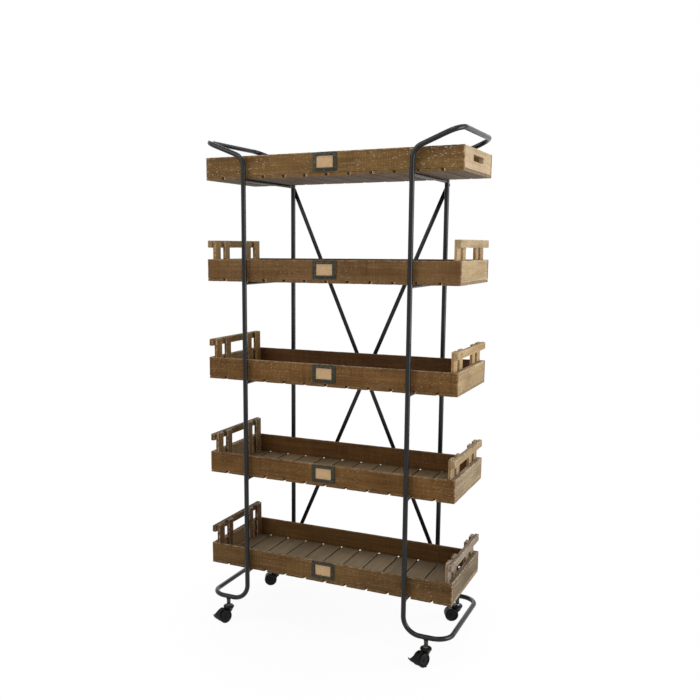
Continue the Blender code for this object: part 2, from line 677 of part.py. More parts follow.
def wheel_mesh():
    """A wheel about Z, its dished face up: a rounded tread, a rim, a dish and a hub round the bore."""
    half = WHEEL_WIDTH / 2
    bore = AXLE_DIAMETER / 2 + GAP
    rim = WHEEL_RADIUS - WHEEL_RIM
    profile = ((WHEEL_RADIUS - WHEEL_EDGE, half),
               (WHEEL_RADIUS, half - WHEEL_EDGE), (WHEEL_RADIUS, -half + WHEEL_EDGE),
               (WHEEL_RADIUS - WHEEL_EDGE, -half), (bore, -half), (bore, half),
               (HUB_RADIUS - WHEEL_DRAFT, half), (HUB_RADIUS, half - WHEEL_DISH),
               (rim - WHEEL_DRAFT, half - WHEEL_DISH), (rim, half))
    mesh = turned_mesh("wheel", profile, WHEEL_STEPS, closed=True)
    mesh.transform(Matrix.Rotation(math.pi / WHEEL_STEPS, 4, "Z"))
    return smooth(mesh)


def pedal_mesh():
    """A plate bent round both wheels, narrow by the boss and spread into two swept ears at its foot."""
    bm = bmesh.new()
    bmesh.ops.create_grid(bm, x_segments=PEDAL_STEPS, y_segments=PEDAL_STEPS, size=0.5)
    raised = bmesh.ops.extrude_face_region(bm, geom=bm.faces[:])
    outer = [item for item in raised["geom"] if isinstance(item, bmesh.types.BMVert)]
    bmesh.ops.translate(bm, vec=(0, 0, PEDAL_THICKNESS), verts=outer)
    half_top = PEDAL_TOP_WIDTH / 2
    half_foot = BRAKE_WIDTH / 2
    for vert in bm.verts:
        along = vert.co.x + 0.5
        y = 2 * vert.co.y * (half_top + (half_foot - half_top) * along ** PEDAL_FLARE)
        angle = PEDAL_TOP_ANGLE + (PEDAL_FOOT_ANGLE - PEDAL_TOP_ANGLE) * along
        radius = PEDAL_RADIUS + vert.co.z
        sweep = PEDAL_EAR_SWEEP * abs(y / half_foot) ** 3
        vert.co = (CASTER_TRAIL + radius * math.cos(angle) - sweep - BRAKE_PIN_X, y,
                   WHEEL_RADIUS + radius * math.sin(angle) - BRAKE_PIN_Z)
    tips = [e for e in bm.edges if all(abs(v.co.y) > half_foot - JOIN for v in e.verts)]
    bmesh.ops.bevel(bm, geom=tips, offset=PEDAL_EAR_TIP, offset_type="OFFSET", affect="EDGES",
                    segments=2, profile=0.5, material=-1)
    bmesh.ops.recalc_face_normals(bm, faces=bm.faces)
    return mesh_from(bm, "pedal")


def brake_mesh():
    """The foot brake about its pin: an eye and tongue in the web, and the pedal that they carry."""
    half_tongue = BRAKE_TONGUE_WIDTH / 2
    eye = rod_mesh("eye", (0, -half_tongue, 0), (0, half_tongue, 0), BRAKE_EYE_RADIUS)
    side_y = half_tongue - BRAKE_TONGUE_INSET
    reach = PEDAL_RADIUS + PEDAL_THICKNESS / 2
    run = Vector((CASTER_TRAIL + reach * math.cos(BRAKE_TONGUE_ANGLE) - BRAKE_PIN_X, 0,
                  WHEEL_RADIUS + reach * math.sin(BRAKE_TONGUE_ANGLE) - BRAKE_PIN_Z))
    across = Vector((-run.z, 0, run.x)).normalized()
    root = across * BRAKE_TONGUE_ROOT / 2
    tip = across * BRAKE_TONGUE_TIP / 2
    outline = [point - Vector((0, side_y, 0)) for point in (root, run + tip, run - tip, -root)]
    tongue = extruded_mesh("tongue", outline, (0, 2 * side_y, 0))
    hole = rod_mesh("pin_hole", (0, -BRAKE_TONGUE_WIDTH, 0), (0, BRAKE_TONGUE_WIDTH, 0),
                    BRAKE_PIN_DIAMETER / 2 + GAP)
    return smooth(combined("brake", eye, added=[tongue, pedal_mesh()], removed=[hole]))


stem = stem_mesh()
plain_housing = housing_mesh(with_brake=False)
braked_housing = housing_mesh(with_brake=True)
wheel = wheel_mesh()
brake = brake_mesh()
for end, y_side, heading in (("front", -1, FRONT_HEADING), ("rear", 1, REAR_HEADING)):
    for side, x_side in (("left", -1), ("right", 1)):
        prefix = f"caster_{end}_{side}_"
        place = (x_side * CASTER_X, SHELF_BACK + y_side * UPRIGHT_Y, 0)
        add_part(prefix + "stem", stem, ZINC, location=place)
        swivel = add_empty(prefix + "swivel", place, heading)
        housing = braked_housing if end == "front" else plain_housing
        add_part(prefix + "housing", housing, BLACK_PLASTIC, parent=swivel)
        for label, y_place in (("wheel_1", WHEEL_CENTRE_Y), ("wheel_2", -WHEEL_CENTRE_Y)):
            roller = add_part(prefix + label, wheel, BLACK_PLASTIC,
                              location=(CASTER_TRAIL, y_place, WHEEL_RADIUS), parent=swivel)
            roller.rotation_euler.x = -math.copysign(math.pi / 2, y_place)
        if end == "front":
            add_part(prefix + "brake", brake, BLACK_PLASTIC,
                     location=(BRAKE_PIN_X, 0, BRAKE_PIN_Z), parent=swivel)
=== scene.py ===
"""Rolling shelf cart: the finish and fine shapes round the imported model.

Units are metres, +Z is up, -Y is the front and the floor is at z = 0.
"""
import json
import math
import random

import bmesh
import bpy
from mathutils import Matrix, Vector, noise


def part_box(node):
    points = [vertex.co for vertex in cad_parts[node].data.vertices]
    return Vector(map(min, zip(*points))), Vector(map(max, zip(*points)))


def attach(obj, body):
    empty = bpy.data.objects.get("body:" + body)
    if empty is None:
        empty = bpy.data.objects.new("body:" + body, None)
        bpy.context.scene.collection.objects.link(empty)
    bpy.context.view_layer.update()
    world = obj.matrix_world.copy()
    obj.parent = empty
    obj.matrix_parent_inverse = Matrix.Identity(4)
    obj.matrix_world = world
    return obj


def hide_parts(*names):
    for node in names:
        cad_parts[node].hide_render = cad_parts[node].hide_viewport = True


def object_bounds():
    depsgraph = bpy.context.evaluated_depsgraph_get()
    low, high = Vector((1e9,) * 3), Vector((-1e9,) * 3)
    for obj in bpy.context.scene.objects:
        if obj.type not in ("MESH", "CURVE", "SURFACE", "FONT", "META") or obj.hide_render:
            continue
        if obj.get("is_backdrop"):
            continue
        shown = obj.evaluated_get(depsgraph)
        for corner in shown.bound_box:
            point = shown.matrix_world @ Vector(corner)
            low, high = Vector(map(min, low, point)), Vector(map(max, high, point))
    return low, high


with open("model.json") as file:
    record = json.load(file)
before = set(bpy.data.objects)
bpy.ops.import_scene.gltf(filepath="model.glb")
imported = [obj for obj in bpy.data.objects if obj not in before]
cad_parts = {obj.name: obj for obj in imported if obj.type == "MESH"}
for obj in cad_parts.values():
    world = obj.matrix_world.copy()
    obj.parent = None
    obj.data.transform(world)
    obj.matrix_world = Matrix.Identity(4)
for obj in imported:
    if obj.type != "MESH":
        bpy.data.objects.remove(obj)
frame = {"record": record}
cad_low, cad_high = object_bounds()


# The studio
# A pale floor that runs out to white, a white world, and four soft lamps. The floor keeps the
# cart's shadow near its casters and fades to the background's white further out.

FLOOR_SIZE = 14.0
FLOOR_TONE = (0.86, 0.86, 0.855, 1.0)
FLOOR_SHADOW_SHARE = 0.07
FLOOR_FADE_START = 0.25
FLOOR_FADE_END = 0.9
WORLD_LIGHT = 0.50
# Each lamp's place, width and power
LAMPS = {"right_lamp": ((3.1, 0.1, 1.35), 2.2, 78.0), "front_lamp": ((-1.8, -2.9, 3.0), 2.2, 46.0),
         "back_lamp": ((-1.2, 3.0, 2.6), 2.2, 30.0), "top_lamp": ((0.5, -1.2, 3.9), 0.9, 22.0)}

scene = bpy.context.scene
scene.view_settings.view_transform = "Standard"


def node(tree, kind, inputs=(), out=0, **settings):
    """Adds a shader node. The inputs map a socket's name or number to a value or another socket."""
    made = tree.nodes.new("ShaderNode" + kind)
    for name, value in settings.items():
        setattr(made, name, value)
    for key, value in dict(inputs).items():
        if isinstance(value, bpy.types.NodeSocket):
            tree.links.new(value, made.inputs[key])
        else:
            made.inputs[key].default_value = value
    return made.outputs[out]


def maths(tree, operation, *values):
    return node(tree, "Math", dict(enumerate(values)), operation=operation)


def seen_or_mirrored(tree):
    """1 for rays from the camera, and for those that metal or glass sends on."""
    camera_ray = node(tree, "LightPath", out="Is Camera Ray")
    rays = camera_ray.node.outputs
    either = maths(tree, "MAXIMUM", camera_ray, rays["Is Glossy Ray"])
    return maths(tree, "MAXIMUM", either, rays["Is Transmission Ray"])


def mesh_from(name, bm):
    """The bmesh as a mesh. The bmesh itself is let go."""
    mesh = bpy.data.meshes.new(name)
    bm.to_mesh(mesh)
    bm.free()
    return mesh


def new_object(name, data):
    """A mesh, light or camera as an object of the scene."""
    made = bpy.data.objects.new(name, data)
    scene.collection.objects.link(made)
    return made


world = bpy.data.worlds.new("studio")
scene.world = world
world.use_nodes = True
tree = world.node_tree
background = tree.nodes["Background"]
background.inputs["Color"].default_value = (1.0, 1.0, 1.0, 1.0)
strength = node(tree, "MapRange", {"Value": seen_or_mirrored(tree), "To Min": WORLD_LIGHT, "To Max": 1.0})
tree.links.new(strength, background.inputs["Strength"])

bm = bmesh.new()
bmesh.ops.create_grid(bm, x_segments=1, y_segments=1, size=FLOOR_SIZE / 2)
floor = new_object("studio_floor", mesh_from("studio_floor", bm))
paper = bpy.data.materials.new("studio paper")
paper.use_nodes = True
tree = paper.node_tree
tree.nodes.remove(tree.nodes["Principled BSDF"])
place = node(tree, "TexCoord", out="Object")
distance = node(tree, "VectorMath", {0: place}, out="Value", operation="LENGTH")
fade = node(tree, "MapRange", {"Value": distance, "From Min": FLOOR_FADE_START,
                               "From Max": FLOOR_FADE_END, "To Min": 1.0 - FLOOR_SHADOW_SHARE,
                               "To Max": 1.0}, interpolation_type="SMOOTHSTEP")
white_share = maths(tree, "MULTIPLY", fade, seen_or_mirrored(tree))
matt = node(tree, "BsdfDiffuse", {"Color": FLOOR_TONE})
glow = node(tree, "Emission")
tree.links.new(node(tree, "MixShader", {0: white_share, 1: matt, 2: glow}),
               tree.nodes["Material Output"].inputs["Surface"])
floor.data.materials.append(paper)
floor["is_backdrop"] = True

for name, (location, width, power) in LAMPS.items():
    light = bpy.data.lights.new(name, "AREA")
    light.shape, light.size, light.energy = "DISK", width, power
    lamp = new_object(name, light)
    lamp.location = location
    aim = (cad_low + cad_high) / 2 - Vector(location)
    lamp.rotation_euler = aim.to_track_quat("-Z", "Y").to_euler()

# The camera stands to the right at the height of the fourth shelf. The photograph is the left and
# lower part of a larger frame, hence the small shift.
CAMERA_PLACE = (1.1688, -2.7203, 1.3795)
CAMERA_DIP = 0.1564
CAMERA_TURN = 0.45576
CAMERA_LENS = 43.28
SENSOR = 36.0
CAMERA_SHIFT = (0.0698, 0.0425)
camera_data = bpy.data.cameras.new("camera")
camera_data.sensor_width = SENSOR
camera_data.lens = CAMERA_LENS
camera_data.shift_x, camera_data.shift_y = CAMERA_SHIFT
camera = new_object("camera", camera_data)
camera.location = CAMERA_PLACE
camera.rotation_euler = (math.pi / 2 - CAMERA_DIP, 0.0, CAMERA_TURN)
scene.camera = camera


# The side frames
# Each one is a single loop of 17 mm steel tube, bent round eight corners, with five 10 mm bars and
# two caster sockets welded in. Both are powder coated black.

TUBE_RADIUS = 0.00847
TUBE_SIDES = 28
BEND_STEPS = 14
UPRIGHT_X = 0.301
UPRIGHT_REACH = 0.017
GRIP_REACH = 0.1525
GRIP_RISE = 0.0535
GRIP_BEND_DROP = 0.007
GRIP_BEND_RADIUS = 0.045
GRIP_CORNER_RADIUS = 0.049
FOOT_REACH = 0.156
FOOT_BEND_RADIUS = 0.059
FOOT_CORNER_RADIUS = 0.057
BAR_RADIUS = 0.005
BAR_GAP = 0.0003
SOCKET_LENGTH = 0.022
SOCKET_RADIUS = 0.00725
SOCKET_EDGE = 0.0008
SOCKET_BORE = 0.0043
SOCKET_BORE_DEPTH = 0.0155
SOCKET_SIDES = 40
BEAD_RADIUS = 0.0019
BEAD_SIDES = 24
BEAD_SCALE = 260
BEAD_ROUGHNESS = 0.0005
CASTER_OFFSET = 0.0815
SMOOTH_LIMIT = math.radians(35)
SIDES = (("left", -1), ("right", 1))
WELD_DISTANCE = 0.00002
# Each finish goes from its plain tone to the one of its dust or tarnish
COAT_TONES = ((0.0065, 0.0067, 0.0071, 1), (0.0150, 0.0142, 0.0130, 1))
SLEEVE_TONES = ((0.080, 0.074, 0.065, 1), (0.040, 0.034, 0.026, 1))

crates = [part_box(f"shelf_{level}_back_and_floor") for level in range(1, 6)]
CRATE_MIDDLE_Y = (crates[0][0].y + crates[0][1].y) / 2
HALF_LENGTH = (crates[0][1].x - crates[0][0].x) / 2
HALF_DEPTH = (crates[0][1].y - crates[0][0].y) / 2
SOCKET_BOTTOM_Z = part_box("right_side_frame")[0].z
FOOT_Z = SOCKET_BOTTOM_Z + SOCKET_LENGTH + TUBE_RADIUS
UPRIGHT_Y = HALF_DEPTH + UPRIGHT_REACH
CASTER_X = UPRIGHT_X + CASTER_OFFSET


def scaled(tree, vector, scale):
    return node(tree, "VectorMath", {0: vector, 1: scale}, operation="MULTIPLY")


def node_noise(tree, vector, scale, detail=3.0, roughness=0.55, distortion=0.0):
    """Noise with a scale of its own along each direction of the vector, or one for all three."""
    sizes = scale if isinstance(scale, tuple) else (scale, scale, scale)
    return node(tree, "TexNoise", {"Vector": scaled(tree, vector, sizes), "Scale": 1.0, "Detail": detail,
                                   "Roughness": roughness, "Distortion": distortion})


def between(tree, value, low, high, to_low=0.0, to_high=1.0):
    """Maps a value from one range to another, held at both ends."""
    return node(tree, "MapRange", {"Value": value, "From Min": low, "From Max": high,
                                   "To Min": to_low, "To Max": to_high})


def mixed(tree, share, first, second):
    return node(tree, "Mix", {0: share, 6: first, 7: second}, out=2, data_type="RGBA")


def product(tree, first, second):
    return maths(tree, "MULTIPLY", first, second)


def new_material(name, roughness=0.5, metallic=0.0, specular=0.5):
    """A material with its shader, its tree and the place on the object, for a finish to be wired in."""
    material = bpy.data.materials.new(name)
    material.use_nodes = True
    shader = material.node_tree.nodes["Principled BSDF"]
    shader.inputs["Roughness"].default_value = roughness
    shader.inputs["Metallic"].default_value = metallic
    shader.inputs["Specular IOR Level"].default_value = specular
    tree = material.node_tree
    return material, shader, tree, node(tree, "TexCoord", out="Object")


def wire(tree, shader, color=None, roughness=None, height=None, depth=0.0002, strength=1.0):
    """Links a finish's colour, roughness and bump height to its shader."""
    if color is not None:
        tree.links.new(color, shader.inputs["Base Color"])
    if roughness is not None:
        tree.links.new(roughness, shader.inputs["Roughness"])
    if height is not None:
        bump = node(tree, "Bump", {"Height": height, "Distance": depth, "Strength": strength})
        tree.links.new(bump, shader.inputs["Normal"])


def powder_coat():
    """Black powder coat: a fine orange peel, duller where dust has settled."""
    material, shader, tree, here = new_material("black powder coat", specular=0.28)
    peel = node_noise(tree, here, 900, 2.0)
    dusty = between(tree, node_noise(tree, here, (22, 22, 9), 4.0), 0.48, 0.72)
    wire(tree, shader, mixed(tree, dusty, *COAT_TONES), between(tree, dusty, 0, 1, 0.24, 0.34), peel,
         0.00006, 0.15)
    return material


def add_piece(name, bm, material, body, replaced=(), place=None):
    """Puts the bmesh in its place, makes it a piece that rides on its body, and hides what it stands for."""
    if place:
        bmesh.ops.transform(bm, matrix=place, verts=bm.verts)
    mesh = mesh_from(name, bm)
    mesh.shade_smooth()
    mesh.set_sharp_from_angle(angle=SMOOTH_LIMIT)
    mesh.materials.append(material)
    piece = new_object(name, mesh)
    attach(piece, body)
    if replaced:
        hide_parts(*replaced)


def aimed(start, direction):
    """Places a shape that was made along Z at a point, facing a direction."""
    turn = Vector((0, 0, 1)).rotation_difference(Vector(direction)).to_matrix().to_4x4()
    return Matrix.Translation(Vector(start)) @ turn


def round_edges(bm, edges, width, segments=2):
    bmesh.ops.bevel(bm, geom=list(edges), offset=width, offset_type="OFFSET", affect="EDGES",
                    segments=segments, profile=0.5, material=-1)


def add_rod(bm, start, end, radius, end_radius=None, sides=20, edge=0.0):
    """Adds a round rod or cone between two points, its rims rounded where asked."""
    start, end = Vector(start), Vector(end)
    made = bmesh.ops.create_cone(bm, cap_ends=True, segments=sides, radius1=radius,
                                 radius2=radius if end_radius is None else end_radius,
                                 depth=(end - start).length,
                                 matrix=aimed((start + end) / 2, end - start))["verts"]
    if edge > 0:
        rims = {e for v in made for e in v.link_edges if min(len(f.verts) for f in e.link_faces) == 4
                and max(len(f.verts) for f in e.link_faces) > 4}
        round_edges(bm, rims, edge)


def add_bead(bm, middle, direction, ring_radius):
    """Adds a weld bead, a slightly uneven ring of round section."""
    ring = bmesh.ops.create_circle(bm, radius=BEAD_RADIUS, segments=8,
                                   matrix=Matrix.Translation((ring_radius, 0, 0))
                                   @ Matrix.Rotation(math.pi / 2, 4, "X"))
    edges = list({e for v in ring["verts"] for e in v.link_edges})
    before = set(bm.verts) - set(ring["verts"])
    bmesh.ops.spin(bm, geom=ring["verts"] + edges, cent=(0, 0, 0), axis=(0, 0, 1),
                   angle=2 * math.pi, steps=BEAD_SIDES, use_merge=True)
    made = [v for v in bm.verts if v not in before]
    bmesh.ops.transform(bm, matrix=aimed(middle, direction), verts=made)
    for vert in made:
        outwards = (vert.co - Vector(middle)).normalized()
        vert.co += outwards * noise.noise(vert.co * BEAD_SCALE) * BEAD_ROUGHNESS


def only(kind, geom):
    """The verts or the edges in what a bmesh operator gives back."""
    return [item for item in geom if isinstance(item, kind)]


def add_tube_loop(bm, corners, radii):
    """Adds a closed loop of tube: a ring is spun round each bend and drawn along each run."""
    bends = []
    for i, corner in enumerate(corners):
        back = (corners[i - 1] - corner).normalized()
        ahead = (corners[(i + 1) % len(corners)] - corner).normalized()
        half_angle = back.angle(ahead) / 2
        reach = radii[i] / math.tan(half_angle)
        centre = corner + (back + ahead).normalized() * radii[i] / math.sin(half_angle)
        bends.append((corner + back * reach, corner + ahead * reach, centre,
                      ahead.cross(back), math.pi - 2 * half_angle))
    first = bmesh.ops.create_circle(bm, radius=TUBE_RADIUS, segments=TUBE_SIDES,
                                    matrix=aimed(bends[0][0], corners[0] - corners[-1]))
    first_ring = list({e for v in first["verts"] for e in v.link_edges})
    ring = first_ring
    for i, (_, leave, centre, axis, angle) in enumerate(bends):
        verts = list({v for e in ring for v in e.verts})
        spun = bmesh.ops.spin(bm, geom=verts + ring, cent=centre, axis=axis, angle=angle,
                              steps=BEND_STEPS)
        ring = only(bmesh.types.BMEdge, spun["geom_last"])
        if i < len(bends) - 1:
            drawn = bmesh.ops.extrude_edge_only(bm, edges=ring)["geom"]
            ends = only(bmesh.types.BMVert, drawn)
            bmesh.ops.translate(bm, vec=bends[i + 1][0] - leave, verts=ends)
            ring = [e for e in only(bmesh.types.BMEdge, drawn) if all(v in ends for v in e.verts)]
    bmesh.ops.bridge_loops(bm, edges=ring + first_ring)
    bmesh.ops.recalc_face_normals(bm, faces=bm.faces)


def side_frame():
    """The right side frame, about the middle of the crates."""
    top_edge_z = crates[-1][1].z
    bend_z = top_edge_z - GRIP_BEND_DROP
    grip_x, grip_z = UPRIGHT_X + GRIP_REACH, top_edge_z + GRIP_RISE
    foot_x = UPRIGHT_X + FOOT_REACH
    route = ((UPRIGHT_X, -UPRIGHT_Y, FOOT_Z, FOOT_BEND_RADIUS),
             (UPRIGHT_X, -UPRIGHT_Y, bend_z, GRIP_BEND_RADIUS),
             (grip_x, -UPRIGHT_Y, grip_z, GRIP_CORNER_RADIUS),
             (grip_x, UPRIGHT_Y, grip_z, GRIP_CORNER_RADIUS),
             (UPRIGHT_X, UPRIGHT_Y, bend_z, GRIP_BEND_RADIUS),
             (UPRIGHT_X, UPRIGHT_Y, FOOT_Z, FOOT_BEND_RADIUS),
             (foot_x, UPRIGHT_Y, FOOT_Z, FOOT_CORNER_RADIUS),
             (foot_x, -UPRIGHT_Y, FOOT_Z, FOOT_CORNER_RADIUS))
    bm = bmesh.new()
    add_tube_loop(bm, [Vector(point[:3]) for point in route], [point[3] for point in route])
    bars = [crate_low.z - BAR_GAP - BAR_RADIUS for crate_low, _ in crates]
    for side in (-1, 1):
        bead_y = side * (UPRIGHT_Y - TUBE_RADIUS - BEAD_RADIUS / 2)
        for bar_z in bars:
            add_bead(bm, (UPRIGHT_X, bead_y, bar_z), (0, side, 0), BAR_RADIUS)
        add_bead(bm, (CASTER_X, side * UPRIGHT_Y, FOOT_Z - TUBE_RADIUS), (0, 0, 1), SOCKET_RADIUS)
    for bar_z in bars:
        add_rod(bm, (UPRIGHT_X, -UPRIGHT_Y, bar_z), (UPRIGHT_X, UPRIGHT_Y, bar_z), BAR_RADIUS)
    return bm


def turned(profile, sides):
    """A body spun about Z from a profile of (radius, height) points."""
    bm = bmesh.new()
    verts = [bm.verts.new((radius, 0, height)) for radius, height in profile]
    edges = [bm.edges.new(pair) for pair in zip(verts, verts[1:])]
    bmesh.ops.spin(bm, geom=verts + edges, cent=(0, 0, 0), axis=(0, 0, 1), angle=2 * math.pi,
                   steps=sides, use_merge=True)
    bmesh.ops.remove_doubles(bm, verts=bm.verts, dist=WELD_DISTANCE)
    bmesh.ops.recalc_face_normals(bm, faces=bm.faces)
    return bm


def sleeve_steel():
    """Dull steel of the caster sleeves, browned a little where the plating is thin."""
    material, shader, tree, here = new_material("dull sleeve steel", 0.4, 1.0)
    tarnish = node_noise(tree, here, 240, 4.0, 0.65)
    turning = node_noise(tree, here, (60, 60, 2600), 1.0)
    color = mixed(tree, between(tree, tarnish, 0.40, 0.68), *SLEEVE_TONES)
    wire(tree, shader, color, between(tree, tarnish, 0.3, 0.7, 0.32, 0.52), turning, 0.00005, 0.5)
    return material


coat = powder_coat()
for side, turn in (("right", 0.0), ("left", math.pi)):
    place = Matrix.Translation((0, CRATE_MIDDLE_Y, 0)) @ Matrix.Rotation(turn, 4, "Z")
    add_piece(f"{side}_tube_frame", side_frame(), coat, "cart", [f"{side}_side_frame"], place)

sleeve = sleeve_steel()
sleeve_profile = [(0, SOCKET_BORE_DEPTH), (SOCKET_BORE, SOCKET_BORE_DEPTH), (SOCKET_BORE, SOCKET_EDGE / 2),
                  (SOCKET_BORE + SOCKET_EDGE / 2, 0), (SOCKET_RADIUS - SOCKET_EDGE, 0),
                  (SOCKET_RADIUS - SOCKET_EDGE * 0.3, SOCKET_EDGE * 0.3), (SOCKET_RADIUS, SOCKET_EDGE),
                  (SOCKET_RADIUS, FOOT_Z - SOCKET_BOTTOM_Z), (0, FOOT_Z - SOCKET_BOTTOM_Z)]
for side, x_side in SIDES:
    for end, y_side in (("front", -1), ("rear", 1)):
        place = (x_side * CASTER_X, CRATE_MIDDLE_Y + y_side * UPRIGHT_Y, SOCKET_BOTTOM_Z)
        add_piece(f"caster_sleeve_{end}_{side}", turned(sleeve_profile, SOCKET_SIDES), sleeve, "cart",
                  [f"{side}_side_frame"], Matrix.Translation(place))


# The back braces
# Two flat steel bars that cross behind the rear uprights. The rear one is joggled back where it
# passes the other, and a pan-head screw with a washer holds each end.

BRACE_WIDTH = 0.015
BRACE_THICKNESS = 0.003
BRACE_END = 0.007
BRACE_CORNER = 0.006
BRACE_EDGE = 0.0005
BRACE_JOG_REACH = 0.055
BRACE_JOG_RAMP = 0.030
BRACE_STEPS = 12
SCREW_RADIUS = 0.0042
SCREW_TOP_RADIUS = 0.003612
SCREW_HEIGHT = 0.0022
SCREW_EDGE = 0.0007
WASHER_RADIUS = 0.0058
WASHER_HEIGHT = 0.0008
WASHER_EDGE = 0.0002
RIM_ANGLE = math.radians(60)


def block(low, high):
    low, high = Vector(low), Vector(high)
    bm = bmesh.new()
    bmesh.ops.create_cube(bm, size=1.0)
    bmesh.ops.scale(bm, vec=high - low, verts=bm.verts)
    bmesh.ops.translate(bm, vec=(low + high) / 2, verts=bm.verts)
    return bm


def edges_along(bm, axis):
    """The edges that run along one axis, in a shape whose other edges lie square to it."""
    return [e for e in bm.edges if abs(e.verts[0].co[axis] - e.verts[1].co[axis]) > WELD_DISTANCE]


def cut_across(bm, axis, at):
    """Cuts the faces that cross a plane, which lies square to one axis."""
    normal = Vector((0, 0, 0))
    normal[axis] = 1
    bmesh.ops.bisect_plane(bm, geom=bm.verts[:] + bm.edges[:] + bm.faces[:], plane_co=normal * at,
                           plane_no=normal)


def add_brace(name, jog, lean_sign):
    """A brace between the corners of its node's box, with its screws."""
    low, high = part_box(name)
    height = high.z - low.z - 2 * BRACE_END
    slope = math.atan2(height, 2 * UPRIGHT_X)
    half_length = math.hypot(height, 2 * UPRIGHT_X) / 2 + BRACE_END
    half_size = Vector((half_length, BRACE_THICKNESS / 2, BRACE_WIDTH / 2))
    bm = block(-half_size, half_size)
    round_edges(bm, edges_along(bm, 1), BRACE_CORNER, 6)
    round_edges(bm, [e for e in bm.edges if e.calc_face_angle() > RIM_ANGLE], BRACE_EDGE)
    for cut in range(BRACE_STEPS + 1):
        reach = BRACE_JOG_REACH - BRACE_JOG_RAMP * cut / BRACE_STEPS
        cut_across(bm, 0, -reach)
        cut_across(bm, 0, reach)
    for vert in bm.verts:
        share = min(1.0, max(0.0, (BRACE_JOG_REACH - abs(vert.co.x)) / BRACE_JOG_RAMP))
        vert.co.y += jog * share * share * (3 - 2 * share)
    seat = Matrix.Translation((0, low.y + BRACE_THICKNESS / 2, (low.z + high.z) / 2))
    place = seat @ Matrix.Rotation(slope * lean_sign, 4, "Y")
    add_piece(name.replace("brace", "cross_brace"), bm, coat, "cart", [name], place)
    screws = bmesh.new()
    for end in (-1, 1):
        foot = place @ Vector((end * (half_length - BRACE_END), BRACE_THICKNESS / 2, 0))
        washer_top = foot + Vector((0, WASHER_HEIGHT, 0))
        head_top = washer_top + Vector((0, SCREW_HEIGHT, 0))
        add_rod(screws, foot, washer_top, WASHER_RADIUS, edge=WASHER_EDGE)
        add_rod(screws, washer_top, head_top, SCREW_RADIUS, SCREW_TOP_RADIUS, edge=SCREW_EDGE)
    add_piece(name.replace("brace", "brace_screws"), screws, coat, "cart")


add_brace("front_back_brace", 0.0, 1)
add_brace("rear_back_brace", BRACE_THICKNESS + BAR_GAP, -1)


# The crates' boards
# Reclaimed softwood, sawn rough, stained and rubbed through at the edges. Each board is cut from its
# own stretch of timber, so the grain, knots and saw marks never repeat.

BOARD_STEP = 0.012
BOARD_EDGE = 0.0013
BOARD_GAP = 0.0003
WAVE_DEPTH = 0.0003
WAVE_SCALE = 14
CHIP_DEPTH = 0.0012
CHIP_REACH = 0.004
CHIP_SCALE = 60.0
CHIP_START = 0.22
TIMBER_SPREAD = 12.0
# A stain's darkest and palest grain as shares of it, the painted shade by joints, and bare and knotty wood
GRAIN_SHARES = ((0.44, 0.37, 0.31), (1.52, 1.60, 1.70))
JOINT_PAINTED_SHADE_SHARE = (0.20, 0.16, 0.13)
BARE_WOOD = (0.62, 0.50, 0.34, 1)
KNOT_TONE = (0.022, 0.011, 0.006, 1)

timber = random.Random(11)


def srgb(red, green, blue):
    """A colour given as screen values from 0 to 255, in linear light."""
    return Vector([(c / 255 / 12.92 if c < 11 else ((c / 255 + 0.055) / 1.055) ** 2.4)
                   for c in (red, green, blue)])


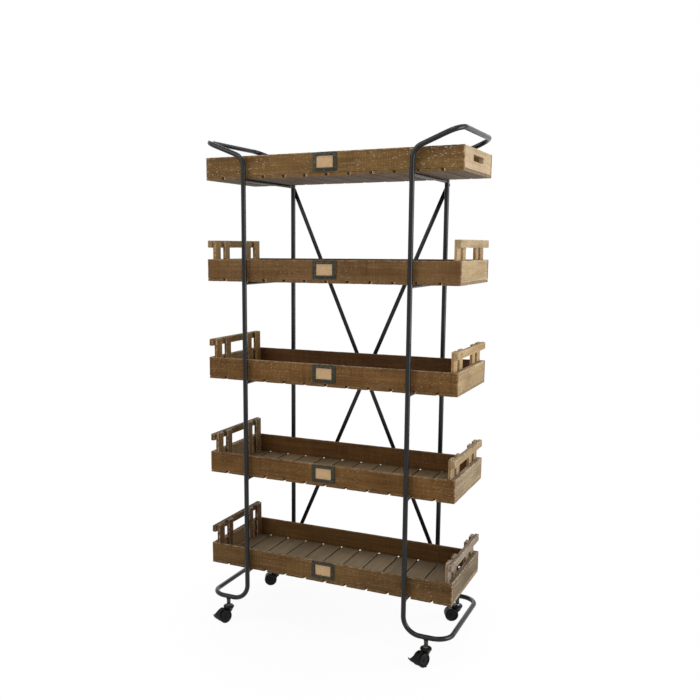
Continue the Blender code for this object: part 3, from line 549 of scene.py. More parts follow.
def wood_finish(name, saw, specks, streaks, lines, rough=0.66, cloud=0.85, knots=1.0, painted_joint_shade=0.0):
    """Stained, worn wood. The boards' layers say where each point lies in the timber.

    Saw marks, pale specks, rubbed streaks, grain lines, cloudy patches, knots and the painted shade
    beside joints are each given by their strength.
    """
    material, shader, tree, _ = new_material(name, specular=0.12)
    grain, reach, stain = [node(tree, "Attribute", out="Vector", attribute_name=layer)
                           for layer in ("grain", "reach", "stain")]
    worn = node(tree, "Attribute", out="Fac", attribute_name="worn")

    # Knots push the grain lines aside, and show as dark ovals with a paler ring
    knot_far = node(tree, "TexVoronoi", {"Vector": scaled(tree, grain, (6.0, 12.0, 14.0)), "Scale": 1.0},
                    out="Distance")
    knot_pick = node(tree, "SeparateColor", {0: knot_far.node.outputs["Color"]})
    has_knot = between(tree, knot_pick, 0.24, 0.20, 0.0, knots)
    knot_halo = product(tree, between(tree, knot_far, 0.42, 0.06), has_knot)
    knot_core = product(tree, between(tree, knot_far, 0.115, 0.085), has_knot)
    push = node(tree, "CombineXYZ", {1: product(tree, knot_halo, 0.011)})
    bent = node(tree, "VectorMath", {0: grain, 1: push}, operation="ADD")

    figure = node_noise(tree, bent, (3.2, 95.0, 95.0), 5.0, 0.62, 0.35)
    fibres = node_noise(tree, bent, (26.0, 780.0, 780.0), 3.0, 0.6)
    blotch = node_noise(tree, grain, (6.0, 15.0, 15.0), 3.0, 0.5)
    saw_fine = node_noise(tree, grain, (230.0, 9.0, 9.0), 2.0, 0.5)
    saw_wide = node_noise(tree, grain, (42.0, 4.0, 4.0), 2.0, 0.5)
    saw_patch = between(tree, node_noise(tree, grain, (5.0, 22.0, 22.0), 2.0), 0.36, 0.62, 0.15, 1.0)
    shade = 0.5
    for value, weight in ((figure, 1.55 * lines), (fibres, 0.75 * lines), (blotch, cloud),
                          (saw_fine, product(tree, saw_patch, 0.85 * saw)), (saw_wide, 0.25 * saw)):
        shade = maths(tree, "MULTIPLY_ADD", maths(tree, "SUBTRACT", value, 0.5), weight, shade)
    shade = between(tree, shade, 0.0, 1.0)
    color = mixed(tree, shade, *[scaled(tree, stain, share) for share in GRAIN_SHARES])
    color = mixed(tree, product(tree, knot_core, 0.85), color, KNOT_TONE)

    # Where it is worn or scuffed the stain is gone and pale wood shows. How far a point lies from an
    # edge is the sum of its reaches to the board's sides, less the longest of them
    scuff = node_noise(tree, grain, (5.0, 230.0, 230.0), 4.0, 0.65)
    fleck = node_noise(tree, grain, (115.0, 270.0, 270.0), 1.0, 0.4)
    fleck_area = node_noise(tree, grain, (7.0, 11.0, 11.0), 2.0, 0.5)
    crumble = node_noise(tree, grain, (70.0, 90.0, 90.0), 4.0, 0.7)
    reach_x, reach_y, reach_z = node(tree, "SeparateXYZ", {0: reach}).node.outputs
    most, total = [maths(tree, kind, maths(tree, kind, reach_x, reach_y), reach_z)
                   for kind in ("MAXIMUM", "ADD")]
    edge_far = maths(tree, "SUBTRACT", total, most)
    edge = product(tree, between(tree, edge_far, 0.0042, 0.0010), between(tree, crumble, 0.44, 0.58))
    flecks = product(tree, between(tree, fleck, 0.655, 0.70), between(tree, fleck_area, 0.40, 0.64, 0.2, 1.0))
    rubbed = product(tree, between(tree, scuff, 0.60, 0.70), streaks)
    bare = maths(tree, "MAXIMUM", product(tree, edge, 0.95), product(tree, flecks, specks))
    bare = maths(tree, "MAXIMUM", bare, rubbed)
    color = mixed(tree, product(tree, bare, worn), color, mixed(tree, 0.70, stain, BARE_WOOD))
    # Painted shade: the wood is darkened along the slats' joints, standing in for the shade in the narrow
    # gaps
    if painted_joint_shade:
        joint = node(tree, "Attribute", out="Fac", attribute_name="joint")
        painted_shade_by_joint = product(tree, between(tree, reach_y, 0.0032, 0.0008, 0.0, painted_joint_shade), joint)
        color = mixed(tree, painted_shade_by_joint, color, scaled(tree, stain, JOINT_PAINTED_SHADE_SHARE))

    height = maths(tree, "MULTIPLY_ADD", fibres, 0.6, product(tree, figure, 0.8))
    height = maths(tree, "MULTIPLY_ADD", saw_fine, 0.7 * saw, height)
    wire(tree, shader, color, between(tree, shade, 0.0, 1.0, rough + 0.12, rough - 0.06), height,
         0.0007, 0.7)
    return material


front_wood = wood_finish("stained front boards", saw=1.0, specks=1.0, streaks=0.45, lines=0.62, cloud=1.0)
floor_wood = wood_finish("grey brown slats", saw=0.2, specks=0.2, streaks=0.2, lines=0.34, rough=0.70,
                         cloud=0.5, knots=0.0, painted_joint_shade=0.75)
end_wood = wood_finish("rubbed end boards", saw=0.35, specks=0.55, streaks=0.55, lines=0.5, knots=0.4)


def board(size, edge=BOARD_EDGE, corner=None, slot=None):
    """A sawn board about its middle: X runs along the grain, Y across it and Z through it.

    The corner is how far a cut corner runs along and across, and the sides of the board that have
    them. The slot is a hole's length and height, how far across it sits, and its corners' radius.
    """
    size = Vector(size)
    bm = block(-size / 2, size / 2)
    if corner:
        stretch = corner[0] / corner[1]
        bmesh.ops.scale(bm, vec=(1, stretch, 1), verts=bm.verts)
        chosen = [e for e in edges_along(bm, 2) if math.copysign(1, e.verts[0].co.y) in corner[2]]
        round_edges(bm, chosen, corner[0], 1)
        bmesh.ops.scale(bm, vec=(1, 1 / stretch, 1), verts=bm.verts)
    if slot:
        for axis in (0, 1):
            for sign in (-1, 1):
                cut_across(bm, axis, axis * slot[2] + sign * slot[axis] / 2)
        inside = [f for f in bm.faces if abs(f.calc_center_median().x) < slot[0] / 2
                  and abs(f.calc_center_median().y - slot[2]) < slot[1] / 2]
        bmesh.ops.delete(bm, geom=inside, context="FACES_ONLY")
        bmesh.ops.bridge_loops(bm, edges=[e for e in bm.edges if e.is_boundary])
        walls = [e for e in edges_along(bm, 2) if abs(e.verts[0].co.x) < size.x / 3]
        round_edges(bm, walls, slot[3], 4)
    for axis, pitch in ((0, BOARD_STEP), (1, BOARD_STEP), (2, size.z / 2)):
        parts = max(2, round(size[axis] / pitch))
        for part in range(1, parts):
            cut_across(bm, axis, size[axis] * (part / parts - 0.5))
    sharp = [e for e in bm.edges if len(e.link_faces) == 2 and e.calc_face_angle() > RIM_ANGLE]
    round_edges(bm, sharp, edge)
    bmesh.ops.recalc_face_normals(bm, faces=bm.faces)
    return bm


def lay_board(target, base, size, place, stain, slot=None, lift=0.12, corner=None, touch=None, chips=1.0):
    """Adds a copy of a board to a piece: it is given its own wear, stain and stretch of timber.

    The touch may change the stain and the wear at a point, from its reach to the edges and its place.
    """
    bm = base.copy()
    for layer in ("grain", "reach", "stain"):
        bm.verts.layers.float_vector.new(layer)
    for layer in ("worn", "joint"):
        bm.verts.layers.float.new(layer)
    grain_layer, reach_layer, stain_layer = [bm.verts.layers.float_vector[layer]
                                             for layer in ("grain", "reach", "stain")]
    worn_layer, joint_layer = [bm.verts.layers.float[layer] for layer in ("worn", "joint")]
    offset = Vector([timber.uniform(-TIMBER_SPREAD, TIMBER_SPREAD) for _ in range(3)])
    tone = stain * timber.uniform(1 - lift, 1 + lift)
    half = Vector(size) / 2
    bm.normal_update()
    moves = []
    for vert in bm.verts:
        here = vert.co.copy()
        reach = Vector([half[i] - abs(here[i]) for i in range(3)])
        if slot:
            away = max(abs(here.x) - slot[0] / 2, abs(here.y - slot[2]) - slot[1] / 2)
            reach.y = min(reach.y, max(0.0, away))
        beside_joint = corner and math.copysign(1, here.y) in corner[2]
        if beside_joint:
            inside = reach.x / corner[0] + reach.y / corner[1] - 1
            inside /= math.hypot(1 / corner[0], 1 / corner[1])
            reach.y = min(reach.y, max(0.0, inside))
        edge_far = sum(reach) - max(reach)
        wave = WAVE_DEPTH * (0.5 + 0.5 * noise.noise(here * WAVE_SCALE + offset))
        chip = max(0.0, noise.noise(here * CHIP_SCALE + offset) - CHIP_START) * CHIP_DEPTH
        chip *= max(0.0, 1 - edge_far / CHIP_REACH)
        moves.append(vert.normal * -(wave + 2 * chips * chip))
        vert[grain_layer] = here + offset
        vert[reach_layer] = reach
        touched = touch(reach, place @ here, tone) if touch else (tone, 1.0)
        vert[stain_layer], vert[worn_layer] = touched
        vert[joint_layer] = 1.0 if beside_joint and reach.x > corner[0] + BOARD_EDGE else 0.0
    for vert, move in zip(bm.verts, moves):
        vert.co += move
    bmesh.ops.transform(bm, matrix=place, verts=bm.verts)
    mesh = mesh_from("board", bm)
    target.from_mesh(mesh)
    bpy.data.meshes.remove(mesh)


def facing(middle, along, across):
    """Places a board at its middle, with its grain and its width along the given directions."""
    along, across = Vector(along), Vector(across)
    turn = Matrix((along, across, along.cross(across))).transposed().to_4x4()
    return Matrix.Translation(Vector(middle)) @ turn


# The crates' walls and floors
# Long front and back boards stand on twelve slats that run from front to back under them, with a
# little sky between. End boards fit between the long ones, and round nails hold it all.

BOARD_THICKNESS = 0.0095
BOARD_HEIGHT = 0.068
END_THICKNESS = 0.016
SLAT_COUNT = 12
SLAT_THICKNESS = 0.0095
SLAT_GAP = 0.002
END_SLAT_SHARE = 0.87
SLAT_CORNER = (0.0150, 0.0040)
SLOT_LENGTH = 0.129
SLOT_HEIGHT = 0.0205
SLOT_CORNER = 0.005
SLOT_DROP = 0.020
NAIL_RADIUS = 0.0018
NAIL_TOP_RADIUS = 0.00108
NAIL_PROUD = 0.0004
SLAT_NAIL_SHARES = (0.28, 0.72)
END_NAIL_RISES = (0.016, 0.052)
NAIL_TONES = ((0.05, 0.045, 0.04, 1), (0.11, 0.06, 0.035, 1))
JOINT_SHADE = 0.55
SLAT_END_WEAR = 1.6
PLANK_FOOT = 0.004
PLANK_FOOT_WEAR = 0.3

# Stains from the lowest crate to the top one: front, back, slats, left end and right end
CRATE_STAINS = (
    ((95, 69, 37), (101, 72, 38), (123, 106, 82), (102, 79, 51), (98, 84, 65)),
    ((103, 72, 36), (108, 75, 40), (122, 104, 76), (106, 86, 60), (131, 114, 89)),
    ((102, 71, 36), (92, 62, 34), (118, 100, 77), (110, 90, 64), (142, 120, 88)),
    ((105, 76, 44), (90, 62, 35), (119, 101, 78), (112, 92, 65), (151, 130, 97)),
    ((108, 80, 44), (105, 75, 43), (108, 91, 73), (118, 96, 68), (165, 144, 114)),
)

CRATE_WEAR = (0.5, 0.4, 0.5, 0.4, 1.0)
BACK_WEAR = 0.2
SLAT_WEAR = 0.45

front_size = (2 * HALF_LENGTH, BOARD_HEIGHT - BOARD_GAP, BOARD_THICKNESS)
back_size = (2 * HALF_LENGTH, BOARD_HEIGHT, BOARD_THICKNESS)
end_size = (2 * (HALF_DEPTH - BOARD_THICKNESS - BOARD_GAP), BOARD_HEIGHT - BOARD_GAP, END_THICKNESS)
slat_width = (2 * HALF_LENGTH - (SLAT_COUNT - 1) * SLAT_GAP) / (SLAT_COUNT - 2 + 2 * END_SLAT_SHARE)
slat_size = (2 * HALF_DEPTH, slat_width, SLAT_THICKNESS)
end_slat_size = (2 * HALF_DEPTH, slat_width * END_SLAT_SHARE, SLAT_THICKNESS)
front_base = board(front_size)
back_base = board(back_size)
end_base = board(end_size)
slot = (SLOT_LENGTH, SLOT_HEIGHT, end_size[1] / 2 - SLOT_DROP - SLOT_HEIGHT / 2, SLOT_CORNER)
slot_base = board(end_size, slot=slot)
# The slats by the side of their joints: left end, middle and right end
SLAT_CORNERS = [(*SLAT_CORNER, sides) for sides in ((-1,), (-1, 1), (1,))]
slat_bases = [board(size, corner=corner)
              for size, corner in zip((end_slat_size, slat_size, end_slat_size), SLAT_CORNERS)]


def add_nail(bm, place, direction):
    """Adds a small domed nail head, sunk so that only its crown stands proud."""
    bmesh.ops.create_cone(bm, cap_ends=True, segments=10, radius1=NAIL_RADIUS, radius2=NAIL_TOP_RADIUS,
                          depth=2 * NAIL_PROUD, matrix=aimed(place, direction))


def slat_touch(middle_x, end_tone):
    """A slat's ends have the front board's stain and a rubbed left edge, and its joints are dark."""
    def touch(reach, there, tone):
        if reach.x < BOARD_EDGE / 2:
            rubbed = there.x < middle_x and reach.y < BOARD_EDGE
            return end_tone, SLAT_END_WEAR if rubbed else SLAT_WEAR / 2
        if reach.y < BOARD_EDGE / 2 and abs(there.x) < HALF_LENGTH - SLAT_GAP:
            return (tone * JOINT_SHADE if reach.x > SLAT_CORNER[0] + BOARD_EDGE else end_tone), 0.0
        return tone, SLAT_WEAR
    return touch


def plank_touch(wear, wall_z):
    """A long board is rubbed least where it stands on the slats."""
    def touch(reach, there, tone):
        return tone, wear * (PLANK_FOOT_WEAR if there.z < wall_z + PLANK_FOOT else 1.0)
    return touch


def nail_finish():
    """Dull steel, rusty in places."""
    material, shader, tree, here = new_material("dull nail heads", 0.55, 0.8)
    rust = between(tree, node_noise(tree, here, 400), 0.4, 0.6)
    wire(tree, shader, mixed(tree, rust, *NAIL_TONES))
    return material


nail_steel = nail_finish()

for level, (crate_low, _) in enumerate(crates):
    name = f"shelf_{level + 1}_"
    front_tone, back_tone, floor_tone, *end_tones = [srgb(*c) for c in CRATE_STAINS[level]]
    wear = CRATE_WEAR[level]
    is_top = level == len(crates) - 1
    floor_z = crate_low.z
    wall_z = floor_z + SLAT_THICKNESS
    front_y = CRATE_MIDDLE_Y - HALF_DEPTH
    back_y = CRATE_MIDDLE_Y + HALF_DEPTH

    front_middle = (0, front_y + BOARD_THICKNESS / 2, wall_z + BOARD_GAP + front_size[1] / 2)
    back_middle = (0, back_y - BOARD_THICKNESS / 2, wall_z + back_size[1] / 2)
    for wall, base, size, middle, tone, worn, replaced in (
            ("front_plank", front_base, front_size, front_middle, front_tone, wear, "front_board"),
            ("back_plank", back_base, back_size, back_middle, back_tone, BACK_WEAR, "back_and_floor")):
        bm = bmesh.new()
        lay_board(bm, base, size, facing(middle, (1, 0, 0), (0, 0, 1)), tone, lift=0.0,
                  touch=plank_touch(worn, wall_z))
        add_piece(name + wall, bm, front_wood, "cart", [name + replaced])

    bm = bmesh.new()
    nails = bmesh.new()
    left_x = -HALF_LENGTH
    for slat in range(SLAT_COUNT):
        kind = (slat > 0) + (slat == SLAT_COUNT - 1)
        size = slat_size if kind == 1 else end_slat_size
        middle = (left_x + size[1] / 2, CRATE_MIDDLE_Y, floor_z + SLAT_THICKNESS / 2)
        lay_board(bm, slat_bases[kind], size,
                  facing(middle, (0, 1, 0), (1, 0, 0)) @ Matrix.Rotation(math.pi, 4, "X"), floor_tone,
                  corner=SLAT_CORNERS[kind], touch=slat_touch(middle[0], front_tone))
        for nail_y in (front_y + BOARD_THICKNESS / 2, back_y - BOARD_THICKNESS / 2):
            for share in SLAT_NAIL_SHARES:
                add_nail(nails, (left_x + size[1] * share, nail_y, floor_z), (0, 0, -1))
        left_x += size[1] + SLAT_GAP
    add_piece(name + "slats", bm, floor_wood, "cart", [name + "back_and_floor"])

    for (side, sign), tone in zip(SIDES, end_tones):
        bm = bmesh.new()
        middle_x = sign * (HALF_LENGTH - END_THICKNESS / 2)
        place = facing((middle_x, CRATE_MIDDLE_Y, wall_z + BOARD_GAP + end_size[1] / 2), (0, sign, 0),
                       (0, 0, 1))
        lay_board(bm, slot_base if is_top else end_base, end_size, place, tone,
                  slot=slot if is_top else None, lift=0.0)
        add_piece(name + side + "_end_plank", bm, end_wood, "cart", [name + side + "_end"])
        for rise in END_NAIL_RISES:
            add_nail(nails, (middle_x, front_y, wall_z + rise), (0, -1, 0))
            add_nail(nails, (middle_x, back_y, wall_z + rise), (0, 1, 0))
    add_piece(name + "nails", nails, nail_steel, "cart")


# The raised handles
# A rail with rounded edges across the ends of the four lower crates, carried by four posts that are
# nailed inside the end board. A hand goes through between the two middle posts.

RAIL_HEIGHT = 0.0255
RAIL_EDGE = 0.003
POST_THICKNESS = 0.010
CORNER_POST_WIDTH = 0.048
MIDDLE_POST_WIDTH = 0.033
GRIP_WIDTH = 0.123
POST_EDGE = 0.001
POST_NAIL_RISES = (0.022, 0.055)
HANDLE_CHIPS = 0.3
SAWN_SIDE = Vector((1.05, 0.85, 0.62))

HANDLE_STAINS = (
    ((75, 52, 30), (114, 100, 86)), ((91, 70, 44), (137, 116, 86)),
    ((111, 83, 46), (155, 130, 94)), ((141, 116, 79), (150, 129, 98)),
)

rail_size = (2 * HALF_DEPTH, RAIL_HEIGHT, END_THICKNESS - 2 * BOARD_GAP)
rail_base = board(rail_size, RAIL_EDGE)
inner_y = HALF_DEPTH - BOARD_THICKNESS - BOARD_GAP
post_spans = []
for low_y, high_y in ((HALF_DEPTH - CORNER_POST_WIDTH, inner_y),
                      (GRIP_WIDTH / 2, GRIP_WIDTH / 2 + MIDDLE_POST_WIDTH)):
    post_spans += [(low_y, high_y), (-high_y, -low_y)]


def post_touch(reach, there, tone):
    """The sawn sides of a post are a warmer brown than its faces."""
    return tone * SAWN_SIDE if reach.y < BOARD_EDGE / 2 else tone, 1.0


for level, (crate_low, _) in enumerate(crates[:-1]):
    name = f"shelf_{level + 1}_"
    for (side, sign), tone in zip(SIDES, HANDLE_STAINS[level]):
        top_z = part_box(name + side + "_handle")[1].z
        post_low = crate_low.z + SLAT_THICKNESS + BOARD_GAP
        post_x = sign * (HALF_LENGTH - END_THICKNESS - BOARD_GAP - POST_THICKNESS / 2)
        bm = bmesh.new()
        nails = bmesh.new()
        rail_x = sign * (HALF_LENGTH - rail_size[2] / 2 - BOARD_GAP)
        rail_middle = (rail_x, CRATE_MIDDLE_Y, top_z - RAIL_HEIGHT / 2)
        lay_board(bm, rail_base, rail_size, facing(rail_middle, (0, sign, 0), (0, 0, 1)), srgb(*tone),
                  chips=HANDLE_CHIPS)
        for low_y, high_y in post_spans:
            post_size = (top_z - post_low, high_y - low_y, POST_THICKNESS)
            post_y = CRATE_MIDDLE_Y + (low_y + high_y) / 2
            place = facing((post_x, post_y, (post_low + top_z) / 2), (0, 0, 1), (0, -sign, 0))
            lay_board(bm, board(post_size, POST_EDGE), post_size, place, srgb(*tone), touch=post_touch,
                      chips=HANDLE_CHIPS)
            for rise in POST_NAIL_RISES:
                add_nail(nails, (sign * HALF_LENGTH, post_y, crate_low.z + rise), (sign, 0, 0))
        add_piece(name + side + "_rail_and_posts", bm, end_wood, "cart",
                  [name + side + "_handle"])
        add_piece(name + side + "_post_nails", nails, nail_steel, "cart")


# The label holders
# Stamped metal frames with mitred steps, one in the middle of each front board, held by a small screw
# at either side. A bare card slides into the pocket behind the window from above.

LABEL_WIDTH = 0.087
LABEL_HEIGHT = 0.061
LABEL_FLANGE = 0.0022
LABEL_CORNER = 0.003
LABEL_EDGE = 0.0004
LABEL_RIM = 0.0045
LABEL_STEP = 0.0018
# Each point of the two ogee steps: how far in and how far up it is, in shares of a step
LABEL_STEPS = ((0.12, 0.38), (0.30, 0.36), (0.34, 0.18), (0.24, 0.08), (0.15, 0.08), (0.35, 0.24),
               (0.50, 0.18))
LABEL_WINDOW = (0.059, 0.038)
LABEL_LIP = 0.0004
LABEL_FALL = 0.0022
# The fall to the window: how much of it is left, and how far down it is in shares of a step
LABEL_FALLS = ((1.0, 0.0), (0.7, 0.10), (0.3, 0.50), (0.0, 0.95))
CARD_MARGIN = 0.003
CARD_THICKNESS = 0.0006
CARD_BOW = 0.00025
CARD_PARTS = {0: 14, 2: 8}
LABEL_SCREW_RADIUS = 0.0017
LABEL_SCREW_TOP_RADIUS = 0.001445
LABEL_SCREW_HEIGHT = 0.0009
LABEL_SCREW_EDGE = 0.00036
PEWTER_TONES = ((0.024, 0.022, 0.014, 1), (0.060, 0.058, 0.042, 1))
CARD_TONES = ((0.47, 0.305, 0.160, 1), (0.55, 0.365, 0.198, 1))
CARD_FIBRE_TONE = (0.62, 0.46, 0.28, 1)


def scratch_object(bm):
    return new_object("scratch", mesh_from("scratch", bm))


def shaped(base, *steps):
    """A copy of the base after each step, a Boolean operation and the bmesh that it uses."""
    work = scratch_object(base)
    tools = [scratch_object(shape) for _, shape in steps]
    for (operation, _), tool in zip(steps, tools):
        boolean = work.modifiers.new("shape", "BOOLEAN")
        boolean.operation, boolean.solver, boolean.object = operation, "EXACT", tool
    bpy.context.view_layer.update()
    depsgraph = bpy.context.evaluated_depsgraph_get()
    mesh = bpy.data.meshes.new_from_object(work.evaluated_get(depsgraph), depsgraph=depsgraph)
    result = bmesh.new()
    result.from_mesh(mesh)
    bmesh.ops.remove_doubles(result, verts=result.verts, dist=WELD_DISTANCE / 4)
    bpy.data.meshes.remove(mesh)
    for used in [work, *tools]:
        bpy.data.objects.remove(used, do_unlink=True)
    return result


def pewter_finish():
    """Aged pewter: dark and olive in the hollows, rubbed to grey on the steps."""
    material, shader, tree, here = new_material("aged pewter", 0.42, 0.6, 0.3)
    patina = node_noise(tree, here, 150, 4.0, 0.6)
    color = mixed(tree, between(tree, patina, 0.36, 0.66), *PEWTER_TONES)
    pits = node_noise(tree, here, 1300)
    wire(tree, shader, color, between(tree, patina, 0.3, 0.7, 0.55, 0.42), pits, 0.00010, 0.5)
    return material


def card_finish():
    """Bare tan card: short fibres, faint mottling and a smooth matt face."""
    material, shader, tree, here = new_material("bare tan card", 0.85, specular=0.2)
    fibres = node_noise(tree, here, (700, 700, 2400), 3.0, 0.6)
    color = mixed(tree, between(tree, node_noise(tree, here, 90), 0.3, 0.7), *CARD_TONES)
    color = mixed(tree, between(tree, fibres, 0.52, 0.72, 0.0, 0.35), color, CARD_FIBRE_TONE)
    wire(tree, shader, color, None, fibres, 0.00006, 0.4)
    return material


def label_frame():
    """The frame about the middle of its back, its face along -Y."""
    bm = block((-LABEL_WIDTH / 2, -LABEL_FLANGE, -LABEL_HEIGHT / 2), (LABEL_WIDTH / 2, 0, LABEL_HEIGHT / 2))
    round_edges(bm, edges_along(bm, 1), LABEL_CORNER, 6)
    front = [e for e in bm.edges if e.calc_face_angle() > RIM_ANGLE
             and max(v.co.y for v in e.verts) < -LABEL_FLANGE / 2]
    round_edges(bm, front, LABEL_EDGE, 3)
    window_x, window_z = LABEL_WINDOW[0] / 2, LABEL_WINDOW[1] / 2
    rings = []
    inset, height = LABEL_RIM, 0.0
    for across, up in LABEL_STEPS:
        inset += across * LABEL_STEP
        height += up * LABEL_STEP
        rings.append((LABEL_WIDTH / 2 - inset, LABEL_HEIGHT / 2 - inset, height))
    for share, drop in LABEL_FALLS:
        reach = LABEL_LIP + share * LABEL_FALL
        rings.append((window_x + reach, window_z + reach, height - drop * LABEL_STEP))
    rise = block((-LABEL_WIDTH / 2 + LABEL_RIM, -LABEL_FLANGE, -LABEL_HEIGHT / 2 + LABEL_RIM),
                 (LABEL_WIDTH / 2 - LABEL_RIM, -LABEL_FLANGE / 2, LABEL_HEIGHT / 2 - LABEL_RIM))
    face = min(rise.faces, key=lambda f: f.calc_center_median().y)
    for half_x, half_z, height in rings:
        bmesh.ops.inset_region(rise, faces=[face], thickness=WELD_DISTANCE, use_even_offset=True)
        for vert in face.verts:
            vert.co = (math.copysign(half_x, vert.co.x), -LABEL_FLANGE - height,
                       math.copysign(half_z, vert.co.z))
    hole = block((-window_x, -LABEL_WIDTH, -window_z), (window_x, LABEL_WIDTH, window_z))
    pocket_half = window_x + CARD_MARGIN + BAR_GAP
    pocket = block((-pocket_half, -CARD_THICKNESS - 2 * BAR_GAP, -window_z - CARD_MARGIN - BAR_GAP),
                   (pocket_half, LABEL_WIDTH, LABEL_HEIGHT))
    return shaped(bm, ("UNION", rise), ("DIFFERENCE", hole), ("DIFFERENCE", pocket))


def label_card():
    """The card, bowed a little towards the window."""
    size = Vector((LABEL_WINDOW[0] + 2 * CARD_MARGIN, 0, LABEL_WINDOW[1] + 2 * CARD_MARGIN))
    bm = block(-size / 2 - Vector((0, CARD_THICKNESS, 0)), size / 2)
    for axis, parts in CARD_PARTS.items():
        for part in range(1, parts):
            cut_across(bm, axis, size[axis] * (part / parts - 0.5))
    for vert in bm.verts:
        vert.co.y -= CARD_BOW * math.cos(math.pi * vert.co.x / size.x)
    return bm


pewter = pewter_finish()
card = card_finish()
frame_base = label_frame()
card_base = label_card()
for level in range(len(crates)):
    name = f"shelf_{level + 1}_label_"
    low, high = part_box(name + "frame")
    back = Vector(((low.x + high.x) / 2, high.y, (low.z + high.z) / 2))
    add_piece(name + "holder", frame_base.copy(), pewter, "cart", [name + "frame"],
              Matrix.Translation(back))
    place = Matrix.Translation((back.x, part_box(name + "card")[1].y, back.z))
    add_piece(name + "bare_card", card_base.copy(), card, "cart", [name + "card"], place)
    bm = bmesh.new()
    for side in (-1, 1):
        seat = back + Vector((side * (LABEL_WIDTH - LABEL_RIM) / 2, -LABEL_FLANGE, 0))
        add_rod(bm, seat, seat - Vector((0, LABEL_SCREW_HEIGHT, 0)), LABEL_SCREW_RADIUS,
                LABEL_SCREW_TOP_RADIUS, edge=LABEL_SCREW_EDGE)
    add_piece(name + "screws", bm, nail_steel, "cart")


# The casters
# Twin-wheel casters of black nylon. A turned boss takes the stem, and a web below it carries the axle
# between the wheels. The stem is pushed into its socket and locked by a zinc-plated nut.

WHEEL_RADIUS = 0.025
TREAD_RADIUS = 0.02469
WHEEL_WIDTH = 0.0115
WHEEL_EDGE = 0.003
WHEEL_SIDES = 72
WHEEL_GAP = 0.0005
WHEEL_CLEARANCE = 0.001
# The outer face from the bore to the rim: each point's radius, and how far in from the rim it lies
WHEEL_FACE = ((0.0033, 0.0009), (0.0039, 0), (0.0059, 0), (0.0065, 0.0006), (0.0075, 0.0024),
              (0.0081, 0.0030), (0.0170, 0.0030), (0.0176, 0.0024), (0.0184, 0.0006), (0.0190, 0),
              (0.0202, 0), (0.0204, 0.0002))
BORE_EDGE = 0.0006
AXLE_RADIUS = 0.003
AXLE_EDGE = 0.0005
RUNNING_GAP = 0.0003
CASTER_TRAIL = 0.022
WEB_THICKNESS = 0.010
WEB_RADIUS = 0.0245
WEB_BOTTOM_Z = 0.008
WEB_EDGE = 0.0007
BOSS_TOP_Z = 0.060
BOSS_RADIUS = 0.0198
BOSS_EDGE = 0.0045
BOSS_RIM_Z = 0.0535
BOSS_RIM_STEP = 0.0006
BOSS_FOOT_RADIUS = 0.011
BOSS_FOOT_Z = 0.036
BOSS_SIDES = 72
COLLAR_RADIUS = 0.0098
COLLAR_GROOVE = 0.0007
NECK_TOP_Z = 0.046
NECK_BOTTOM_X = -0.001
NUT_ACROSS = 0.014
NUT_HEIGHT = 0.0035
NUT_CHAMFER = 0.0004
NUT_SIDES = 48
STEM_RADIUS = 0.004
STEM_DEPTH = 0.019
STEM_RISE = 0.015
STEM_EDGE = 0.001
STEM_SIDES = 32
# The snap groove from its top to its foot: how deep it is, and how high above the stem's foot
STEM_GROOVE = ((0, 0.0078), (0.0008, 0.007), (0.0008, 0.004), (0, 0.0032))
BODY_TONES = ((0.0048, 0.0048, 0.0049, 1), (0.016, 0.0155, 0.0145, 1))
WHEEL_TONES = ((0.0060, 0.0061, 0.0064, 1), (0.024, 0.023, 0.021, 1))
ZINC_TONES = ((0.74, 0.79, 0.87, 1), (0.36, 0.35, 0.33, 1))

PIN_INSET = 0.0055
PIN_RISE = 0.004
PIN_X = CASTER_TRAIL + WEB_RADIUS - PIN_INSET
PIN_Z = WHEEL_RADIUS + PIN_RISE
PIN_RADIUS = 0.0018
PIN_SIDES = 24
TONGUE_WIDTH = 0.0054
TONGUE_INSET = 0.0005
TONGUE_ANGLE = math.radians(-8)
TONGUE_ROOT = 0.0058
TONGUE_TIP = 0.0046
EYE_RADIUS = 0.0042

record = frame["record"]
joint_places = {joint["name"]: joint for joint in record["behaviour"]["joints"]}
wheel_centre_y = WEB_THICKNESS / 2 + WHEEL_GAP + WHEEL_WIDTH / 2


def arc(centre_radius, centre_height, radius, start, end, steps):
    """Points of a profile along an arc, from one angle in degrees to another."""
    angles = [math.radians(start + (end - start) * step / steps) for step in range(steps + 1)]
    return [(centre_radius + radius * math.cos(a), centre_height + radius * math.sin(a)) for a in angles]


def rod(start, end, radius, sides=32, edge=0.0):
    bm = bmesh.new()
    add_rod(bm, start, end, radius, sides=sides, edge=edge)
    return bm


def slab(outline, half_width):
    """An outline of (x, z) points in the caster's middle plane, drawn out to both sides of it."""
    bm = bmesh.new()
    face = bm.faces.new([bm.verts.new((x, -half_width, z)) for x, z in outline])
    side = bmesh.ops.extrude_face_region(bm, geom=[face])
    bmesh.ops.translate(bm, vec=(0, 2 * half_width, 0), verts=only(bmesh.types.BMVert, side["geom"]))
    bmesh.ops.recalc_face_normals(bm, faces=bm.faces)
    return bm


def nylon(name, tones, rough):
    """Moulded nylon: faint flow marks, a fine matt grain and dust where it meets the floor."""
    material, shader, tree, here = new_material(name, specular=0.11)
    grain = node_noise(tree, here, 1500, 2.0)
    flow = node_noise(tree, here, (160, 160, 60))
    dust = between(tree, node_noise(tree, here, 420, 4.0, 0.65), 0.42, 0.68)
    height = node(tree, "SeparateXYZ", {0: here}, out=2)
    share = product(tree, dust, between(tree, height, 0.050, 0.002, 0.10, 0.75))
    gloss = maths(tree, "MULTIPLY_ADD", product(tree, flow, 0.14), share, rough - 0.07)
    gloss = maths(tree, "ADD", gloss, product(tree, share, 0.25))
    wire(tree, shader, mixed(tree, share, *tones), gloss, grain, 0.00008, 0.5)
    return material


